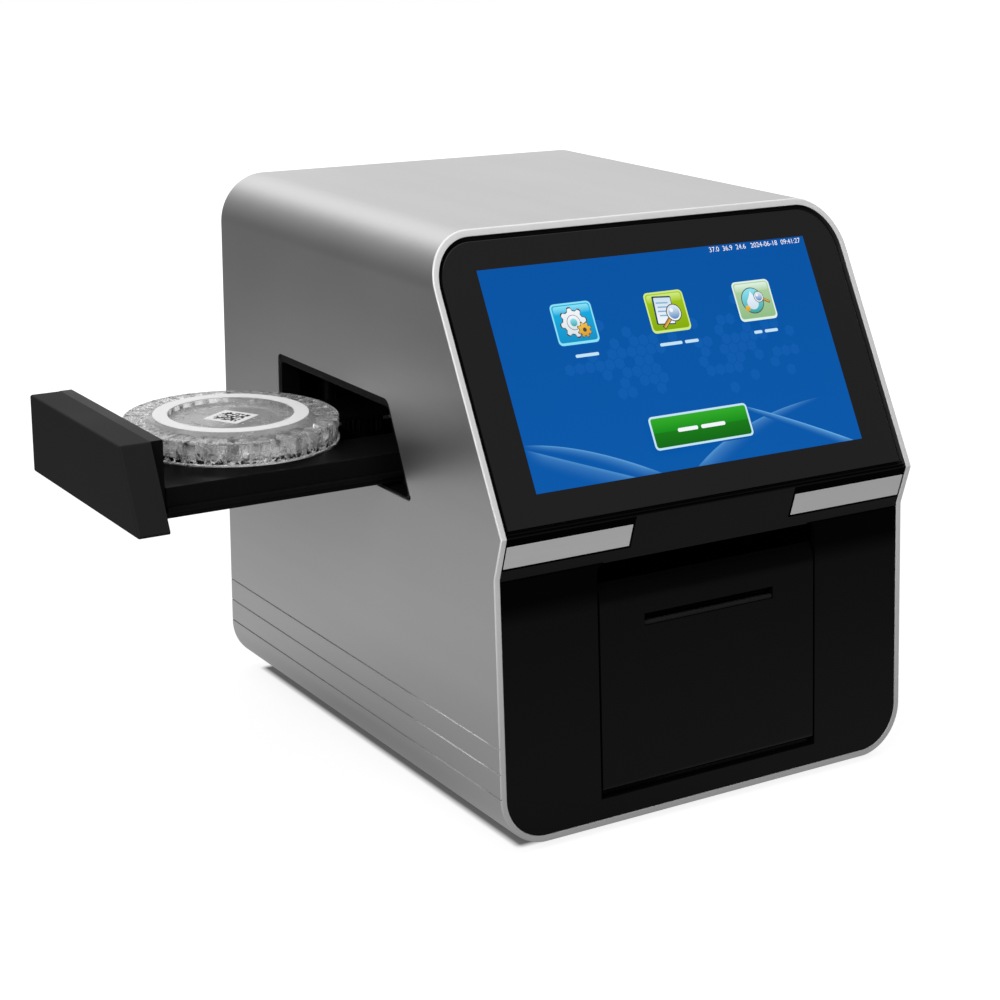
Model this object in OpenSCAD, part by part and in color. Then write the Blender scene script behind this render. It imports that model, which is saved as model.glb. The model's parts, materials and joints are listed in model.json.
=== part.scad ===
// Benchtop chemistry analyzer: an aluminium sleeve with a leaning touch screen, a thermal printer behind a
// drop-down door, and a motor drawer at the left that carries a spinning reagent disc to the optics.
// Body places: x from the middle of the sleeve, y back from the front's lowest edge,
// z up from the sleeve's floor.

/* [Sleeve] */
// Width of the sleeve
body_w = 194; // [190:1:206]
// Height of the sleeve, without the feet
body_h = 221.5; // [218:0.5:236]
// Depth of the sleeve
body_d = 231; // [229:1:250]
// Thickness of the sleeve's wall
wall = 2.5; // [2:0.1:3]
// Outer radius of the four long corners
corner_r = 20; // [14:0.5:24]
// Height of the feet
foot_h = 3; // [2:0.5:6]
// Radius of a foot
foot_r = 8; // [7:0.5:10]
// Depth of the grooves along the sides
groove_t = 0.4; // [0.2:0.1:0.8]
// Height of the groove lines on the sides
groove_w = 0.7; // [0.4:0.1:1.2]
// Height of the lowest groove
groove_z = 20.7; // [18:0.5:24]
// Distance from groove to groove
groove_step = 9.7; // [7:0.1:12]

/* [Front profile] */
// How far the bend lies behind the foot of the front
bend_y = 7.6; // [5:0.1:10]
// Height of the bend, where the chin starts
bend_z = 103.8; // [102:0.2:106]
// How far the chin's edge lies behind the foot of the front
apex_y = 3.1; // [1:0.1:5]
// Height of the chin's edge, where the screen starts
apex_z = 120.2; // [118:0.2:122]
// How far the top of the screen lies behind the foot of the front
top_y = 60.3; // [54:0.5:66]

/* [Screen] */
// How deep the glass lies below the sleeve's edge
glass_recess = 1; // [0.6:0.1:1.6]
// Thickness of the glass
glass_t = 1.8; // [1.2:0.1:2.5]
// Where the glass starts above the chin's edge
glass_v = 3; // [2.4:0.2:4.6]
// Thickness of the carrier behind the glass
carrier_t = 6; // [5:0.5:8]
// Width of the display module
lcd_w = 165; // [158:1:168]
// Edge of the screen below the display module
lcd_low = 7.6; // [7:0.2:9]
// Edge of the screen above the display module
lcd_high = 8.7; // [7.5:0.1:12]
// Thickness of the display module
lcd_t = 4.8; // [3:0.2:5]

/* [Chin and fascia] */
// How deep the black front pieces lie below the sleeve's edge
face_recess = 0.4; // [0.2:0.1:0.8]
// Thickness of the black front pieces
face_t = 2.5; // [2:0.1:3]
// Inner end of each chin strip from the middle
strip_u = 38.2; // [30:0.5:50]
// Height of the chin strips
strip_h = 10; // [8:0.5:10.5]
// Where the strips start above the bend
strip_v = 3.8; // [3:0.2:5]
// Thickness of the chin strips
strip_t = 1; // [0.6:0.1:1.4]

/* [Printer door] */
// Width of the door
door_w = 103.4; // [102:0.2:104]
// Where the door's lower edge lies above the foot of the front
door_v = 12.9; // [12:0.1:14]
// Gap below the door
door_gap = 2.3; // [1.9:0.1:3]
// Radius of the upper corners of the door's window
window_r = 3.5; // [1:0.5:3.5]
// Where the door starts to roll inwards
scoop_v = 87; // [86:0.2:88]
// Outer radius of the inward roll
scoop_r = 13; // [12:0.2:13.4]
// Half the length of the paper slot
slot_u = 30.5; // [28:0.5:33]
// Height of the paper slot
slot_h = 4.8; // [3.6:0.1:5]
// Middle of the paper slot above the foot of the front
slot_v = 77.8; // [76.6:0.2:78.4]
// Radius of the hinge pins
pin_r = 1.2; // [1:0.1:1.4]

/* [Printer] */
// Radius of the paper roll
roll_r = 20; // [14:0.5:21]
// Width of the paper
paper_w = 57; // [50:0.5:58]
// Radius of the roll's core hole
core_r = 6; // [4:0.5:8]
// Radius of the platen's rubber
platen_r = 6; // [5:0.1:6.4]
// Module of the printer's gears
feed_module = 0.6; // [0.56:0.01:0.62]

/* [Drawer] */
// How far the open drawer stands out of the sleeve
drawer_out = 109; // [106:1:112]
// Height of the slot's lower edge
mouth_z = 118.2; // [117.6:0.2:119]
// Height of the slot
mouth_h = 36.1; // [35.8:0.1:38]
// Rear edge of the slot behind the foot of the front
mouth_rear = 178.4; // [178:0.2:180]
// Front edge of the slot at its lower corner
mouth_front = 67.2; // [64:0.2:68]
// Lean of the slot's front edge, back per height
mouth_lean = 0.5; // [0.44:0.01:0.52]
// Width of the slot bezel's visible edge
lip = 2.1; // [1.6:0.1:2.3]
// Width of the slot bezel's lower edge
lip_low = 0.8; // [0.6:0.1:1]
// Gap around the drawer's front
drawer_gap = 0.5; // [0.3:0.1:0.7]
// Thickness of the drawer's front block
block_t = 12.3; // [10:0.1:13]
// Thickness of the tray's end wall
end_wall = 5.1; // [4:0.1:6]
// Front side of the tray behind the foot of the front
tray_y0 = 86.2; // [85.8:0.2:87]
// Rear side of the tray behind the foot of the front
tray_y1 = 174; // [173:0.2:174.2]
// Height of the tray's underside
tray_z = 120.7; // [120.4:0.1:121.2]
// Height of the tray
tray_h = 11.8; // [11:0.1:12]
// Wall of the tray
tray_wall = 2; // [1.6:0.1:2.4]

/* [Reagent disc] */
// Outer radius of the disc
disc_r = 42.2; // [38:0.2:42.4]
// Height of the disc's rim
disc_h = 9.3; // [8:0.1:10]
// Height of the disc above the tray
disc_lift = 2.3; // [2:0.1:3]
// Middle of the disc from the tray's end wall
disc_in = 46.5; // [45.5:0.1:46.6]
// Outer radius of the white label ring
ring_r = 30.4; // [26:0.2:32]
// Width of the white label ring
ring_w = 6.1; // [4:0.1:8]
// Number of cuvettes in the rim
cuvettes = 30; // [20:1:36]

/* [Drive] */
// Module of the drawer's rack
rack_module = 0.8; // [0.7:0.01:0.85]
// Teeth of the drawer's pinion
pinion_teeth = 20; // [18:1:20]

/* [Fan] */
// Side of the cooling fan
fan_w = 60; // [50:1:64]
// Depth of the cooling fan
fan_d = 15; // [12:0.5:20]
// Blades of the fan
fan_blades = 7; // [5:1:9]

/* [Hidden] */
$fn = 64;
thin_gap = 0.1;
seat_gap = 0.2;
run_gap = 0.05;
body_x = drawer_out / 2;
side_x = body_w / 2;
in_x = side_x - wall;
past = 1;

slope_run = top_y - apex_y;
slope_rise = body_h - apex_z;
slope_lean = atan2(slope_run, slope_rise);
slope_len = norm([slope_run, slope_rise]);
lcd_h = slope_len - lcd_low - lcd_high;
lcd_v = lcd_low + lcd_h / 2;
chin_lean = atan2(apex_y - bend_y, apex_z - bend_z);
chin_len = norm([apex_y - bend_y, apex_z - bend_z]);
lower_lean = atan2(bend_y, bend_z);
lower_len = norm([bend_y, bend_z]);

// Window of the door in the lower fascia, and the tunnel behind it
door_side = 0.5;
window_u = door_w / 2 + door_side;
tunnel_t = 2;
tunnel_w = 13;
floor_v = door_v - door_gap;
hinge_v = door_v + 4.5;
hinge_w = -face_recess - 5.5;
knuckle_r = 2.8;
knuckle_t = 4;
boss_t = 3.8;
boss_r = 4;
door_edge_r = 2.5;
scoop_turn = 78;
roof_t = 1.4;
roof_gap = 0.4;

// Platen, gears and print head, in the frame of the lower front
platen_v = slot_v - 1.6 - platen_r;
platen_w = -11;
platen_ear_u = 36;
platen_ear_t = 2.5;
ear_r = 3.5;
gear_u = 39.5;
gear_t = 4;
shaft_r = 2;
platen_teeth = 20;
idler_teeth = 28;
motor_teeth = 12;
mesh_play = 0.1;
idler_w = platen_w - feed_module * (platen_teeth + idler_teeth) / 2 - mesh_play;
pinion_v = platen_v - feed_module * (motor_teeth + idler_teeth) / 2 - mesh_play;
head_gap = 0.15;
head_t = 3.6;
head_v = platen_v + platen_r + head_gap;
head_half = 7;

// Paper bay
flange_t = 2;
flange_w = -tunnel_w - flange_t;
tub_t = 2;
tub_u = paper_w / 2 + 2.5;
roll_v = 50;
roll_w = flange_w - 25;
tub_v0 = roll_v - 22;
tub_v1 = head_v + head_t + thin_gap;
tub_w = roll_w - 24;
gear_window_u = gear_u + gear_t + 1.5;
gear_window_v = 9;

// Slot bezel, drawer and disc
bezel_out = 0.5;
bezel_in = 9;
bezel_flange = 3;
bezel_flange_t = 2;
mouth_top = mouth_z + mouth_h;
front_z0 = mouth_z + lip_low + drawer_gap;
front_z1 = tray_z + tray_h + 18;
front_x = -side_x - drawer_out;
tray_x0 = front_x + block_t + end_wall;
tray_reach = 161;
tray_x1 = front_x + tray_reach;
tray_top = tray_z + tray_h;
disc_x = tray_x0 + disc_in;
disc_y = (tray_y0 + tray_y1) / 2 - 1.1;
disc_z = tray_top + disc_lift;
home_x = disc_x + drawer_out;
stow_x = -side_x + block_t + end_wall + 1.2;
notch_x = disc_x + 32;
notch_y = 16;
tongue_z = tray_z + 2.3;
tongue_h = 2;
tongue_t = 1.3;
spigot_r = 4;
spigot_h = 2.5;
hub_r = 12;
axle_r = 1.5;
spindle_r = 18;
spindle_h = 6.5;
label_w = 14;
label_t = 0.2;
label_turn = 62;

// Deck, guides and drive
deck_z = 104;
deck_t = 2;
deck_top = deck_z + deck_t;
deck_y0 = 71;
deck_y1 = 190;
guide_t = 6;
guide_h = 22;
guide_x1 = tray_x1 + drawer_out + 2;
deck_x1 = guide_x1 + 4;
deck_x0 = -in_x + 2.5;
rack_t = 6;
rack_y = tray_y1 - tray_wall - rack_t;
rack_z = tray_z + 2.3;
pinion_r = rack_module * pinion_teeth / 2;
pinion_x = stow_x + pinion_r + rack_module + 1;
pinion_y = rack_y - pinion_r - mesh_play;
rack_tooth = PI * rack_module;
pillar_r = 4;
flat_x = side_x - corner_r;
pillar_x0 = -58;
pillar_x1 = 40;
deck_edge = 5;
post_in = 8;

// Chamber and optics
rim_mid = 38;
beam_x = home_x + rim_mid;
heater_z = disc_z + disc_h + 4;
heater_t = 3;
heater_x1 = home_x + 46;
post_y0 = 75.5;
post_y1 = 185;
spine_x = home_x + disc_r + 15;
spine_t = 10;
arm_y = 10;
optics_top = heater_z + heater_t + 13;

// Rear panel and base
rear_in = 6;
rear_t = 2;
rear_y = body_d - rear_in - rear_t;
fan_x = 0;
fan_z = body_h - 37;
fan_hole = fan_w / 2 - 2.5;
vents = 7;
vent_z = 66;
vent_step = 6.5;
vent_w = 70;
vent_h = 3;
vent_r = 1.4;
port_z = 32;
inlet_x = 58;
switch_x = 20;
ports_x = -30;
base_t = 1.5;
base_z = wall + base_t;
board_y = 84;
board_d = 92;
board_lift = 6;
supply_y = 83;
supply_w = 50;
supply_d = 95;
supply_h = 30;
rocker_tilt = 11;

// Places and outlines

module at_body() translate([body_x, -body_d / 2, foot_h]) children();

// A flat outline in x and z, drawn out from one y to another
module along_y(y0, y1) translate([0, y1, 0]) rotate([90, 0, 0]) linear_extrude(y1 - y0) children();

// A flat outline in y and z, drawn out from one x to another
module along_x(x0, x1) translate([x0, 0, 0]) rotate([90, 0, 90]) linear_extrude(x1 - x0) children();

// Frames on the three front faces: x across, y up along the face, z outwards
module on_slope() translate([0, apex_y, apex_z]) rotate([90 - slope_lean, 0, 0]) children();
module on_chin() translate([0, bend_y, bend_z]) rotate([90 - chin_lean, 0, 0]) children();
module on_lower() rotate([90 - lower_lean, 0, 0]) children();

module both_sides() for (side = [-1, 1]) scale([side, 1, 1]) children();

module round_box(w, h, r) {
    square([w - 2 * r, h], center = true);
    square([w, h - 2 * r], center = true);
    for (sx = [-1, 1], sy = [-1, 1]) translate([sx * (w / 2 - r), sy * (h / 2 - r)]) circle(r);
}

module sleeve_outline(inset) translate([0, body_h / 2])
    round_box(body_w - 2 * inset, body_h - 2 * inset, corner_r - inset);

module side_profile() polygon([[0, 0], [bend_y, bend_z], [apex_y, apex_z], [top_y, body_h],
    [body_d, body_h], [body_d, 0]]);

// The space inside the sleeve, less a gap
module sleeve_core(gap) along_y(-past, body_d) sleeve_outline(wall + gap);

module block(from, to) translate(from) cube(to - from);

module rod(r, x0, x1) translate([x0, 0, 0]) rotate([0, 90, 0]) cylinder(r = r, h = x1 - x0);

function unit(v) = v / norm(v);
function fillet(a, b, c, r, steps = 6) = let(u = unit(a - b), w = unit(c - b), half = acos(u * w) / 2,
    mid = b + unit(u + w) * r / sin(half), p = b + u * r / tan(half) - mid, q = b + w * r / tan(half) - mid,
    a0 = atan2(p.y, p.x), turn = ((atan2(q.y, q.x) - a0 + 540) % 360) - 180)
    [for (i = [0:steps]) mid + r * [cos(a0 + turn * i / steps), sin(a0 + turn * i / steps)]];
function rounded(pts, r) = let(n = len(pts))
    [for (i = [0:n - 1]) each fillet(pts[(i + n - 1) % n], pts[i], pts[(i + 1) % n], r)];

// The leaning four-sided outline of the slot, drawn in at each side
function mouth(front, rear, low, top) = let(shift = mouth_front + front * norm([1, mouth_lean]),
    z0 = mouth_z + low, z1 = mouth_top - top)
    [[shift + low * mouth_lean, z0], [mouth_rear - rear, z0], [mouth_rear - rear, z1],
     [shift + (z1 - mouth_z) * mouth_lean, z1]];

// Gears
function involute(a) = tan(a) * 180 / PI - a;
function tooth_half(rho, m, z) = let(r = m * z / 2, base = r * cos(20), play = 0.1 / r * 90 / PI)
    90 / z - play + involute(20) - involute(acos(min(1, base / rho)));
function gear_points(m, z, steps = 4) = let(root = m * (z / 2 - 1.2), tip = m * (z / 2 + 0.9))
    [for (i = [0:z - 1], side = [-1, 1], k = [0:steps])
        let(rho = root + (tip - root) * (side < 0 ? k : steps - k) / steps,
            a = i * 360 / z + side * tooth_half(rho, m, z)) rho * [cos(a), sin(a)]];

module gear(m, z, t, bore) linear_extrude(t) difference() {
    polygon(gear_points(m, z));
    circle(bore);
}

// A gear on the printer's train, its axis along x in the frame of the lower front
module feed_gear(z, v, w, phase, bore) translate([gear_u, v, w]) rotate([90, 0, 90]) rotate([0, 0, phase])
    gear(feed_module, z, gear_t, bore);

// Sleeve, rear panel and base

module sleeve_shell() color("silver") at_body() difference() {
    intersection() {
        along_y(0, body_d) difference() {
            sleeve_outline(0);
            sleeve_outline(wall);
        }
        along_x(-side_x - past, side_x + past) side_profile();
    }
    along_x(-side_x - past, -in_x + past) polygon(rounded(mouth(0, 0, 0, 0), 2.5));
    both_sides() for (i = [0:2]) block([side_x - groove_t, -past, groove_z + i * groove_step - groove_w / 2],
        [side_x + past, body_d + past, groove_z + i * groove_step + groove_w / 2]);
    for (p = foot_places) translate([p.x, p.y, -past]) cylinder(r = 1.75, h = wall + 2 * past);
}

foot_y = 26;
foot_places = [for (y = [foot_y, body_d - foot_y], sx = [-1, 1]) [sx * (flat_x - foot_r - 1), y]];

module foot(i) color("dimgray") at_body() translate([foot_places[i].x, foot_places[i].y, -foot_h])
    difference() {
        cylinder(r = foot_r, h = foot_h);
        translate([0, 0, -past]) cylinder(r = 3.3, h = past + foot_h - 1.2);
        translate([0, 0, -past]) cylinder(r = 1.75, h = foot_h + 2 * past);
    }

module foot_front_left() foot(0);
module foot_front_right() foot(1);
module foot_rear_left() foot(2);
module foot_rear_right() foot(3);

module foot_screws() color("gainsboro") at_body() for (p = foot_places) translate([p.x, p.y, -1.2]) {
    translate([0, 0, -0.6]) cylinder(r = 3, h = 0.6);
    cylinder(r = 1.7, h = 1.2 + base_z + 2);
    translate([0, 0, 1.2 + base_z]) cylinder(r = 3.2, h = 2.2);
}

module base_plate() color("lightsteelblue") at_body() {
    difference() {
        block([-flat_x, 17, wall], [flat_x, rear_y - thin_gap, base_z]);
        for (p = foot_places) translate([p.x, p.y, 0]) cylinder(r = 1.75, h = base_z + past);
    }
    for (p = board_places) translate([p.x, p.y, base_z]) cylinder(r = 3, h = board_lift);
}

board_x0 = -18;
board_x1 = flat_x;
board_places = [for (x = [board_x0 + 6, board_x1 - 6], y = [board_y + 6, board_y + board_d - 6]) [x, y]];

module rear_holes() {
    translate([fan_x, fan_z]) circle(fan_hole);
    for (sx = [-1, 1], sz = [-1, 1]) translate([fan_x + sx * (fan_w / 2 - 5), fan_z + sz * (fan_w / 2 - 5)])
        circle(1.6);
    translate([inlet_x, port_z]) square([27.6, 20.4], center = true);
    translate([switch_x, port_z]) square([13.4, 19.6], center = true);
    translate([ports_x, port_z]) square([44.4, 16.4], center = true);
    for (i = [0:vents - 1]) translate([fan_x, vent_z + i * vent_step]) round_box(vent_w, vent_h, vent_r);
}

module rear_panel() color("dimgray") at_body() difference() {
    along_y(rear_y, rear_y + rear_t) difference() {
        sleeve_outline(wall + seat_gap);
        rear_holes();
    }
    for (p = rear_places) translate([p.x, rear_y - past, p.y]) rotate([-90, 0, 0])
        cylinder(r = 1.6, h = rear_t + 2 * past);
}

rear_places = [for (sx = [-1, 1], z = [14, body_h - 14]) [sx * (side_x - 20), z]];

module rear_screws() color("gainsboro") at_body() for (p = rear_places) translate([p.x, rear_y, p.y])
    rotate([-90, 0, 0]) {
        translate([0, 0, -6]) cylinder(r = 1.55, h = rear_t + 6);
        difference() {
            translate([0, 0, rear_t]) cylinder(r = 3, h = 1.8);
            translate([0, 0, rear_t + 0.9]) cylinder(r = 1.4, h = past, $fn = 6);
        }
    }

// Screen

module screen_carrier() color("black") at_body() intersection() {
    sleeve_core(seat_gap);
    on_slope() difference() {
        block([-side_x, glass_v, -glass_recess - glass_t - carrier_t],
            [side_x, slope_len + 2 * wall, -glass_recess - glass_t]);
        block([-lcd_w / 2 - seat_gap, lcd_v - lcd_h / 2 - seat_gap, -glass_recess - glass_t - carrier_t - past],
            [lcd_w / 2 + seat_gap, lcd_v + lcd_h / 2 + seat_gap, -glass_recess]);
    }
}

module lcd_module() color("navy") at_body() on_slope() {
    back = -glass_recess - glass_t - lcd_t;
    block([-lcd_w / 2, lcd_v - lcd_h / 2, back], [lcd_w / 2, lcd_v + lcd_h / 2, -glass_recess - glass_t]);
    block([-lcd_w / 4, lcd_v - lcd_h / 4, back - 3], [lcd_w / 4, lcd_v + lcd_h / 4, back]);
}

module touch_glass() color("midnightblue") at_body() intersection() {
    sleeve_core(seat_gap);
    on_slope() block([-side_x, glass_v, -glass_recess - glass_t], [side_x, slope_len + wall, -glass_recess]);
}

// Chin and lower fascia

module chin_bar() color("black") at_body() {
    u = in_x - seat_gap;
    back = -face_recess - face_t;
    difference() {
        union() {
            intersection() {
                on_chin() block([-u, 0, back], [u, chin_len + past, -face_recess]);
                on_slope() block([-u, -chin_len - past, -chin_len - past],
                    [u, glass_v - thin_gap, -face_recess]);
            }
            intersection() {
                on_slope() block([-u, 0, back - 1.5], [u, glass_v - thin_gap, -glass_recess - 1]);
                on_chin() block([-u, 0, -2 * chin_len], [u, chin_len + glass_v, -face_recess]);
            }
            on_lower() block([-u, lower_len - roof_t, -tunnel_w], [u, lower_len - roof_gap, back]);
            intersection() {
                on_lower() block([-u, lower_len - roof_t, back - past], [u, lower_len + past, -face_recess]);
                on_chin() block([-u, -2 * face_t, back - past], [u, past, -face_recess]);
            }
        }
        both_sides() on_chin() block([strip_u - thin_gap, strip_v - thin_gap, -face_recess - strip_t],
            [side_x, strip_v + strip_h + thin_gap, past]);
    }
}

module chin_strip() on_chin() block([strip_u, strip_v, -face_recess - strip_t],
    [in_x - seat_gap - 0.2, strip_v + strip_h, -face_recess + 0.1]);
module chin_strip_left() color("silver") at_body() scale([-1, 1, 1]) chin_strip();
module chin_strip_right() color("silver") at_body() chin_strip();

module door_window() {
    top = lower_len - roof_t - thin_gap;
    translate([-window_u, floor_v]) square([2 * window_u, top - window_r - floor_v]);
    translate([-window_u + window_r, floor_v]) square([2 * (window_u - window_r), lower_len - floor_v]);
    for (side = [-1, 1]) translate([side * (window_u - window_r), top - window_r]) circle(window_r);
}

module lower_fascia() color("black") at_body() difference() {
    union() {
        intersection() {
            sleeve_core(seat_gap);
            on_lower() block([-side_x, -wall, -face_recess - face_t],
                [side_x, lower_len - roof_t - thin_gap, -face_recess]);
        }
        both_sides() on_lower() {
            block([window_u, floor_v - tunnel_t, -tunnel_w],
                [window_u + tunnel_t, lower_len - roof_t - thin_gap, -face_recess - face_t]);
            translate([0, hinge_v, hinge_w]) rod(boss_r, window_u, window_u + boss_t);
        }
        on_lower() block([-window_u, floor_v - tunnel_t, -tunnel_w], [window_u, floor_v, -face_recess - face_t]);
    }
    on_lower() translate([0, 0, -face_recess - face_t - past]) linear_extrude(face_t + 2 * past) door_window();
    on_lower() translate([0, hinge_v, hinge_w]) rod(pin_r + run_gap,
        -window_u - boss_t - past, window_u + boss_t + past);
}

// Printer door with its hinge, tear bar and platen

module door_outline() {
    face = -face_recess;
    centre_w = face - scoop_r;
    translate([door_v + door_edge_r, face - face_t]) square([scoop_v - door_v - door_edge_r, face_t]);
    translate([door_v, face - door_edge_r - 0.5]) square([door_edge_r, 0.5]);
    translate([door_v + door_edge_r, face - door_edge_r]) circle(door_edge_r);
    translate([scoop_v, centre_w]) intersection() {
        difference() {
            circle(scoop_r);
            circle(scoop_r - face_t);
        }
        polygon([[0, 0], [0, 2 * scoop_r], 2 * scoop_r * [1, 1],
            2 * scoop_r * [sin(scoop_turn), cos(scoop_turn)]]);
    }
}

module printer_door() color("black") at_body() on_lower() difference() {
    union() {
        along_x(-door_w / 2, door_w / 2) door_outline();
        both_sides() {
            hull() {
                translate([0, hinge_v, hinge_w]) rod(knuckle_r, door_w / 2 - knuckle_t, door_w / 2);
                block([door_w / 2 - knuckle_t, hinge_v - 2, -face_recess - face_t],
                    [door_w / 2, hinge_v + 8, -face_recess - face_t + 0.5]);
            }
            block([door_w / 2 - 2, hinge_v, -face_recess - face_t - 3],
                [door_w / 2, scoop_v, -face_recess - face_t]);
            block([platen_ear_u, platen_v - ear_r, platen_w],
                [platen_ear_u + platen_ear_t, platen_v + ear_r, -face_recess - face_t]);
            translate([0, platen_v, platen_w]) rod(ear_r, platen_ear_u, platen_ear_u + platen_ear_t);
        }
    }
    translate([0, slot_v, -face_recess - face_t - past]) linear_extrude(face_t + 2 * past)
        round_box(2 * slot_u, slot_h, slot_h / 2 - 0.1);
    translate([0, hinge_v, hinge_w]) rod(pin_r + run_gap, -side_x, side_x);
    translate([0, platen_v, platen_w]) rod(shaft_r + run_gap, -platen_ear_u - platen_ear_t - past,
        platen_ear_u + platen_ear_t + past);
}

module door_pins() color("gainsboro") at_body() on_lower() both_sides() translate([0, hinge_v, hinge_w])
    rod(pin_r, door_w / 2 - knuckle_t, window_u + boss_t);

module tear_bar() color("gainsboro") at_body() on_lower() {
    back = -face_recess - face_t;
    top = slot_v - slot_h / 2;
    teeth = 2 * floor(slot_u);
    step = (2 * slot_u - 1) / teeth;
    translate([0, 0, back - 0.6]) linear_extrude(0.6) {
        translate([-slot_u + 0.5, top - 5]) square([2 * slot_u - 1, 4.2]);
        for (i = [0:teeth - 1]) translate([-slot_u + 0.5 + i * step, top - 0.8])
            polygon([[0, -0.1], [step, -0.1], [step, 0], [step / 2, 0.8], [0, 0]]);
    }
}

module platen_shaft() color("gainsboro") at_body() on_lower() translate([0, platen_v, platen_w])
    rod(shaft_r, -platen_ear_u - platen_ear_t - 1, gear_u + gear_t + 0.5);

module platen_roller() color("dimgray") at_body() on_lower() translate([0, platen_v, platen_w]) difference() {
    rod(platen_r, -paper_w / 2 - 0.5, paper_w / 2 + 0.5);
    rod(shaft_r, -paper_w, paper_w);
}

module platen_gear() color("ivory") at_body() on_lower()
    feed_gear(platen_teeth, platen_v, platen_w, -90, shaft_r);

// Printer mechanism

module printer_cradle() color("dimgray") at_body() on_lower() {
    u = window_u + tunnel_t;
    plate_u = tub_u + tub_t;
    difference() {
        union() {
            block([-u, floor_v - tunnel_t, flange_w], [u, lower_len - roof_t - 1, -tunnel_w - thin_gap]);
            block([-plate_u, tub_v0 - tub_t, tub_w - tub_t], [plate_u, tub_v1 + tub_t, flange_w]);
            block([-plate_u, tub_v1, flange_w], [plate_u, tub_v1 + tub_t, platen_w + head_half]);
        }
        block([-tub_u, tub_v0, tub_w], [tub_u, tub_v1, past - tunnel_w]);
        both_sides() block([plate_u + 1, platen_v - gear_window_v, flange_w - past],
            [gear_window_u, platen_v + gear_window_v, past - tunnel_w]);
        translate([0, roll_v, roll_w]) rod(core_r - 1 + run_gap, -plate_u - past, plate_u + past);
    }
    translate([0, platen_v, idler_w]) rod(shaft_r, plate_u, gear_u + gear_t + 0.3);
    difference() {
        block([gear_u + gear_t + 0.7, pinion_v - 10, idler_w - 10],
            [gear_u + gear_t + 2.5, pinion_v + 10, flange_w]);
        translate([0, pinion_v, idler_w]) rod(3, gear_u, gear_u + 10);
    }
}

module roll_spindle() color("gainsboro") at_body() on_lower() translate([0, roll_v, roll_w])
    rod(core_r - 1, -tub_u - tub_t, tub_u + tub_t);

module paper_roll() color("whitesmoke") at_body() on_lower() translate([0, roll_v, roll_w]) difference() {
    rod(roll_r, -paper_w / 2, paper_w / 2);
    rod(core_r - 1 + run_gap, -paper_w, paper_w);
}

module print_head() color("gray") at_body() on_lower() {
    u = paper_w / 2;
    block([-u, head_v + 1, platen_w - head_half], [u, head_v + head_t, platen_w + head_half]);
    block([-u + 2, head_v, platen_w - 1.5], [u - 2, head_v + 1, platen_w + 1.5]);
}

module printer_motor() color("gray") at_body() on_lower() translate([0, pinion_v, idler_w]) difference() {
    u = gear_u + gear_t + 2.5;
    union() {
        rod(9, u + thin_gap, u + 18);
        rod(2.9, u - 1.8, u + thin_gap);
    }
    rod(1 + run_gap, u - 3, u + 12);
}

module motor_pinion() color("goldenrod") at_body() on_lower() {
    feed_gear(motor_teeth, pinion_v, idler_w, 0, 0.5);
    translate([0, pinion_v, idler_w]) rod(1, gear_u, gear_u + gear_t + 12);
}

module idler_gear() color("ivory") at_body() on_lower()
    feed_gear(idler_teeth, platen_v, idler_w, 90 + 180 / idler_teeth, shaft_r + run_gap);

// Slot bezel and drawer

module mouth_plate(x0, x1, front, rear, low, top, r) along_x(x0, x1)
    polygon(rounded(mouth(front, rear, low, top), r));

module slot_bezel() color("black") at_body() difference() {
    union() {
        mouth_plate(-side_x + bezel_out, -side_x + bezel_in, thin_gap, thin_gap, thin_gap, thin_gap, 2.4);
        mouth_plate(-in_x + thin_gap, -in_x + thin_gap + bezel_flange_t, -bezel_flange, -bezel_flange,
            -bezel_flange, -bezel_flange, 3);
    }
    mouth_plate(-side_x - past, -side_x + bezel_in + past, lip, lip, lip_low,
        mouth_top - front_z1 - drawer_gap, 1.5);
}

module drawer_front() color("black") at_body() mouth_plate(front_x, front_x + block_t, lip + drawer_gap,
    lip + drawer_gap, lip_low + drawer_gap, mouth_top - front_z1, 1);

tray_front_top = mouth(lip + drawer_gap, 0, 0, mouth_top - front_z1)[3].x;

module drawer_tray() color("black") at_body() difference() {
    union() {
        block([front_x + block_t, tray_front_top + 0.6, front_z0 + 0.5],
            [tray_x0, mouth_rear - lip - drawer_gap, front_z1]);
        block([tray_x0, tray_y0, tray_z], [tray_x1, tray_y1, tray_top]);
        block([tray_x0, tray_y0 - tongue_t, tongue_z], [tray_x1, tray_y1 + tongue_t, tongue_z + tongue_h]);
    }
    block([tray_x0, tray_y0 + tray_wall, tray_z - past],
        [tray_x1 + past, tray_y1 - tray_wall, tray_top - tray_wall]);
    block([notch_x, disc_y - notch_y, tray_z - past], [tray_x1 + past, disc_y + notch_y, tray_top + past]);
    translate([disc_x, disc_y, tray_top - tray_wall - past]) cylinder(r = axle_r + 1, h = tray_wall + 2 * past);
}

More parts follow.
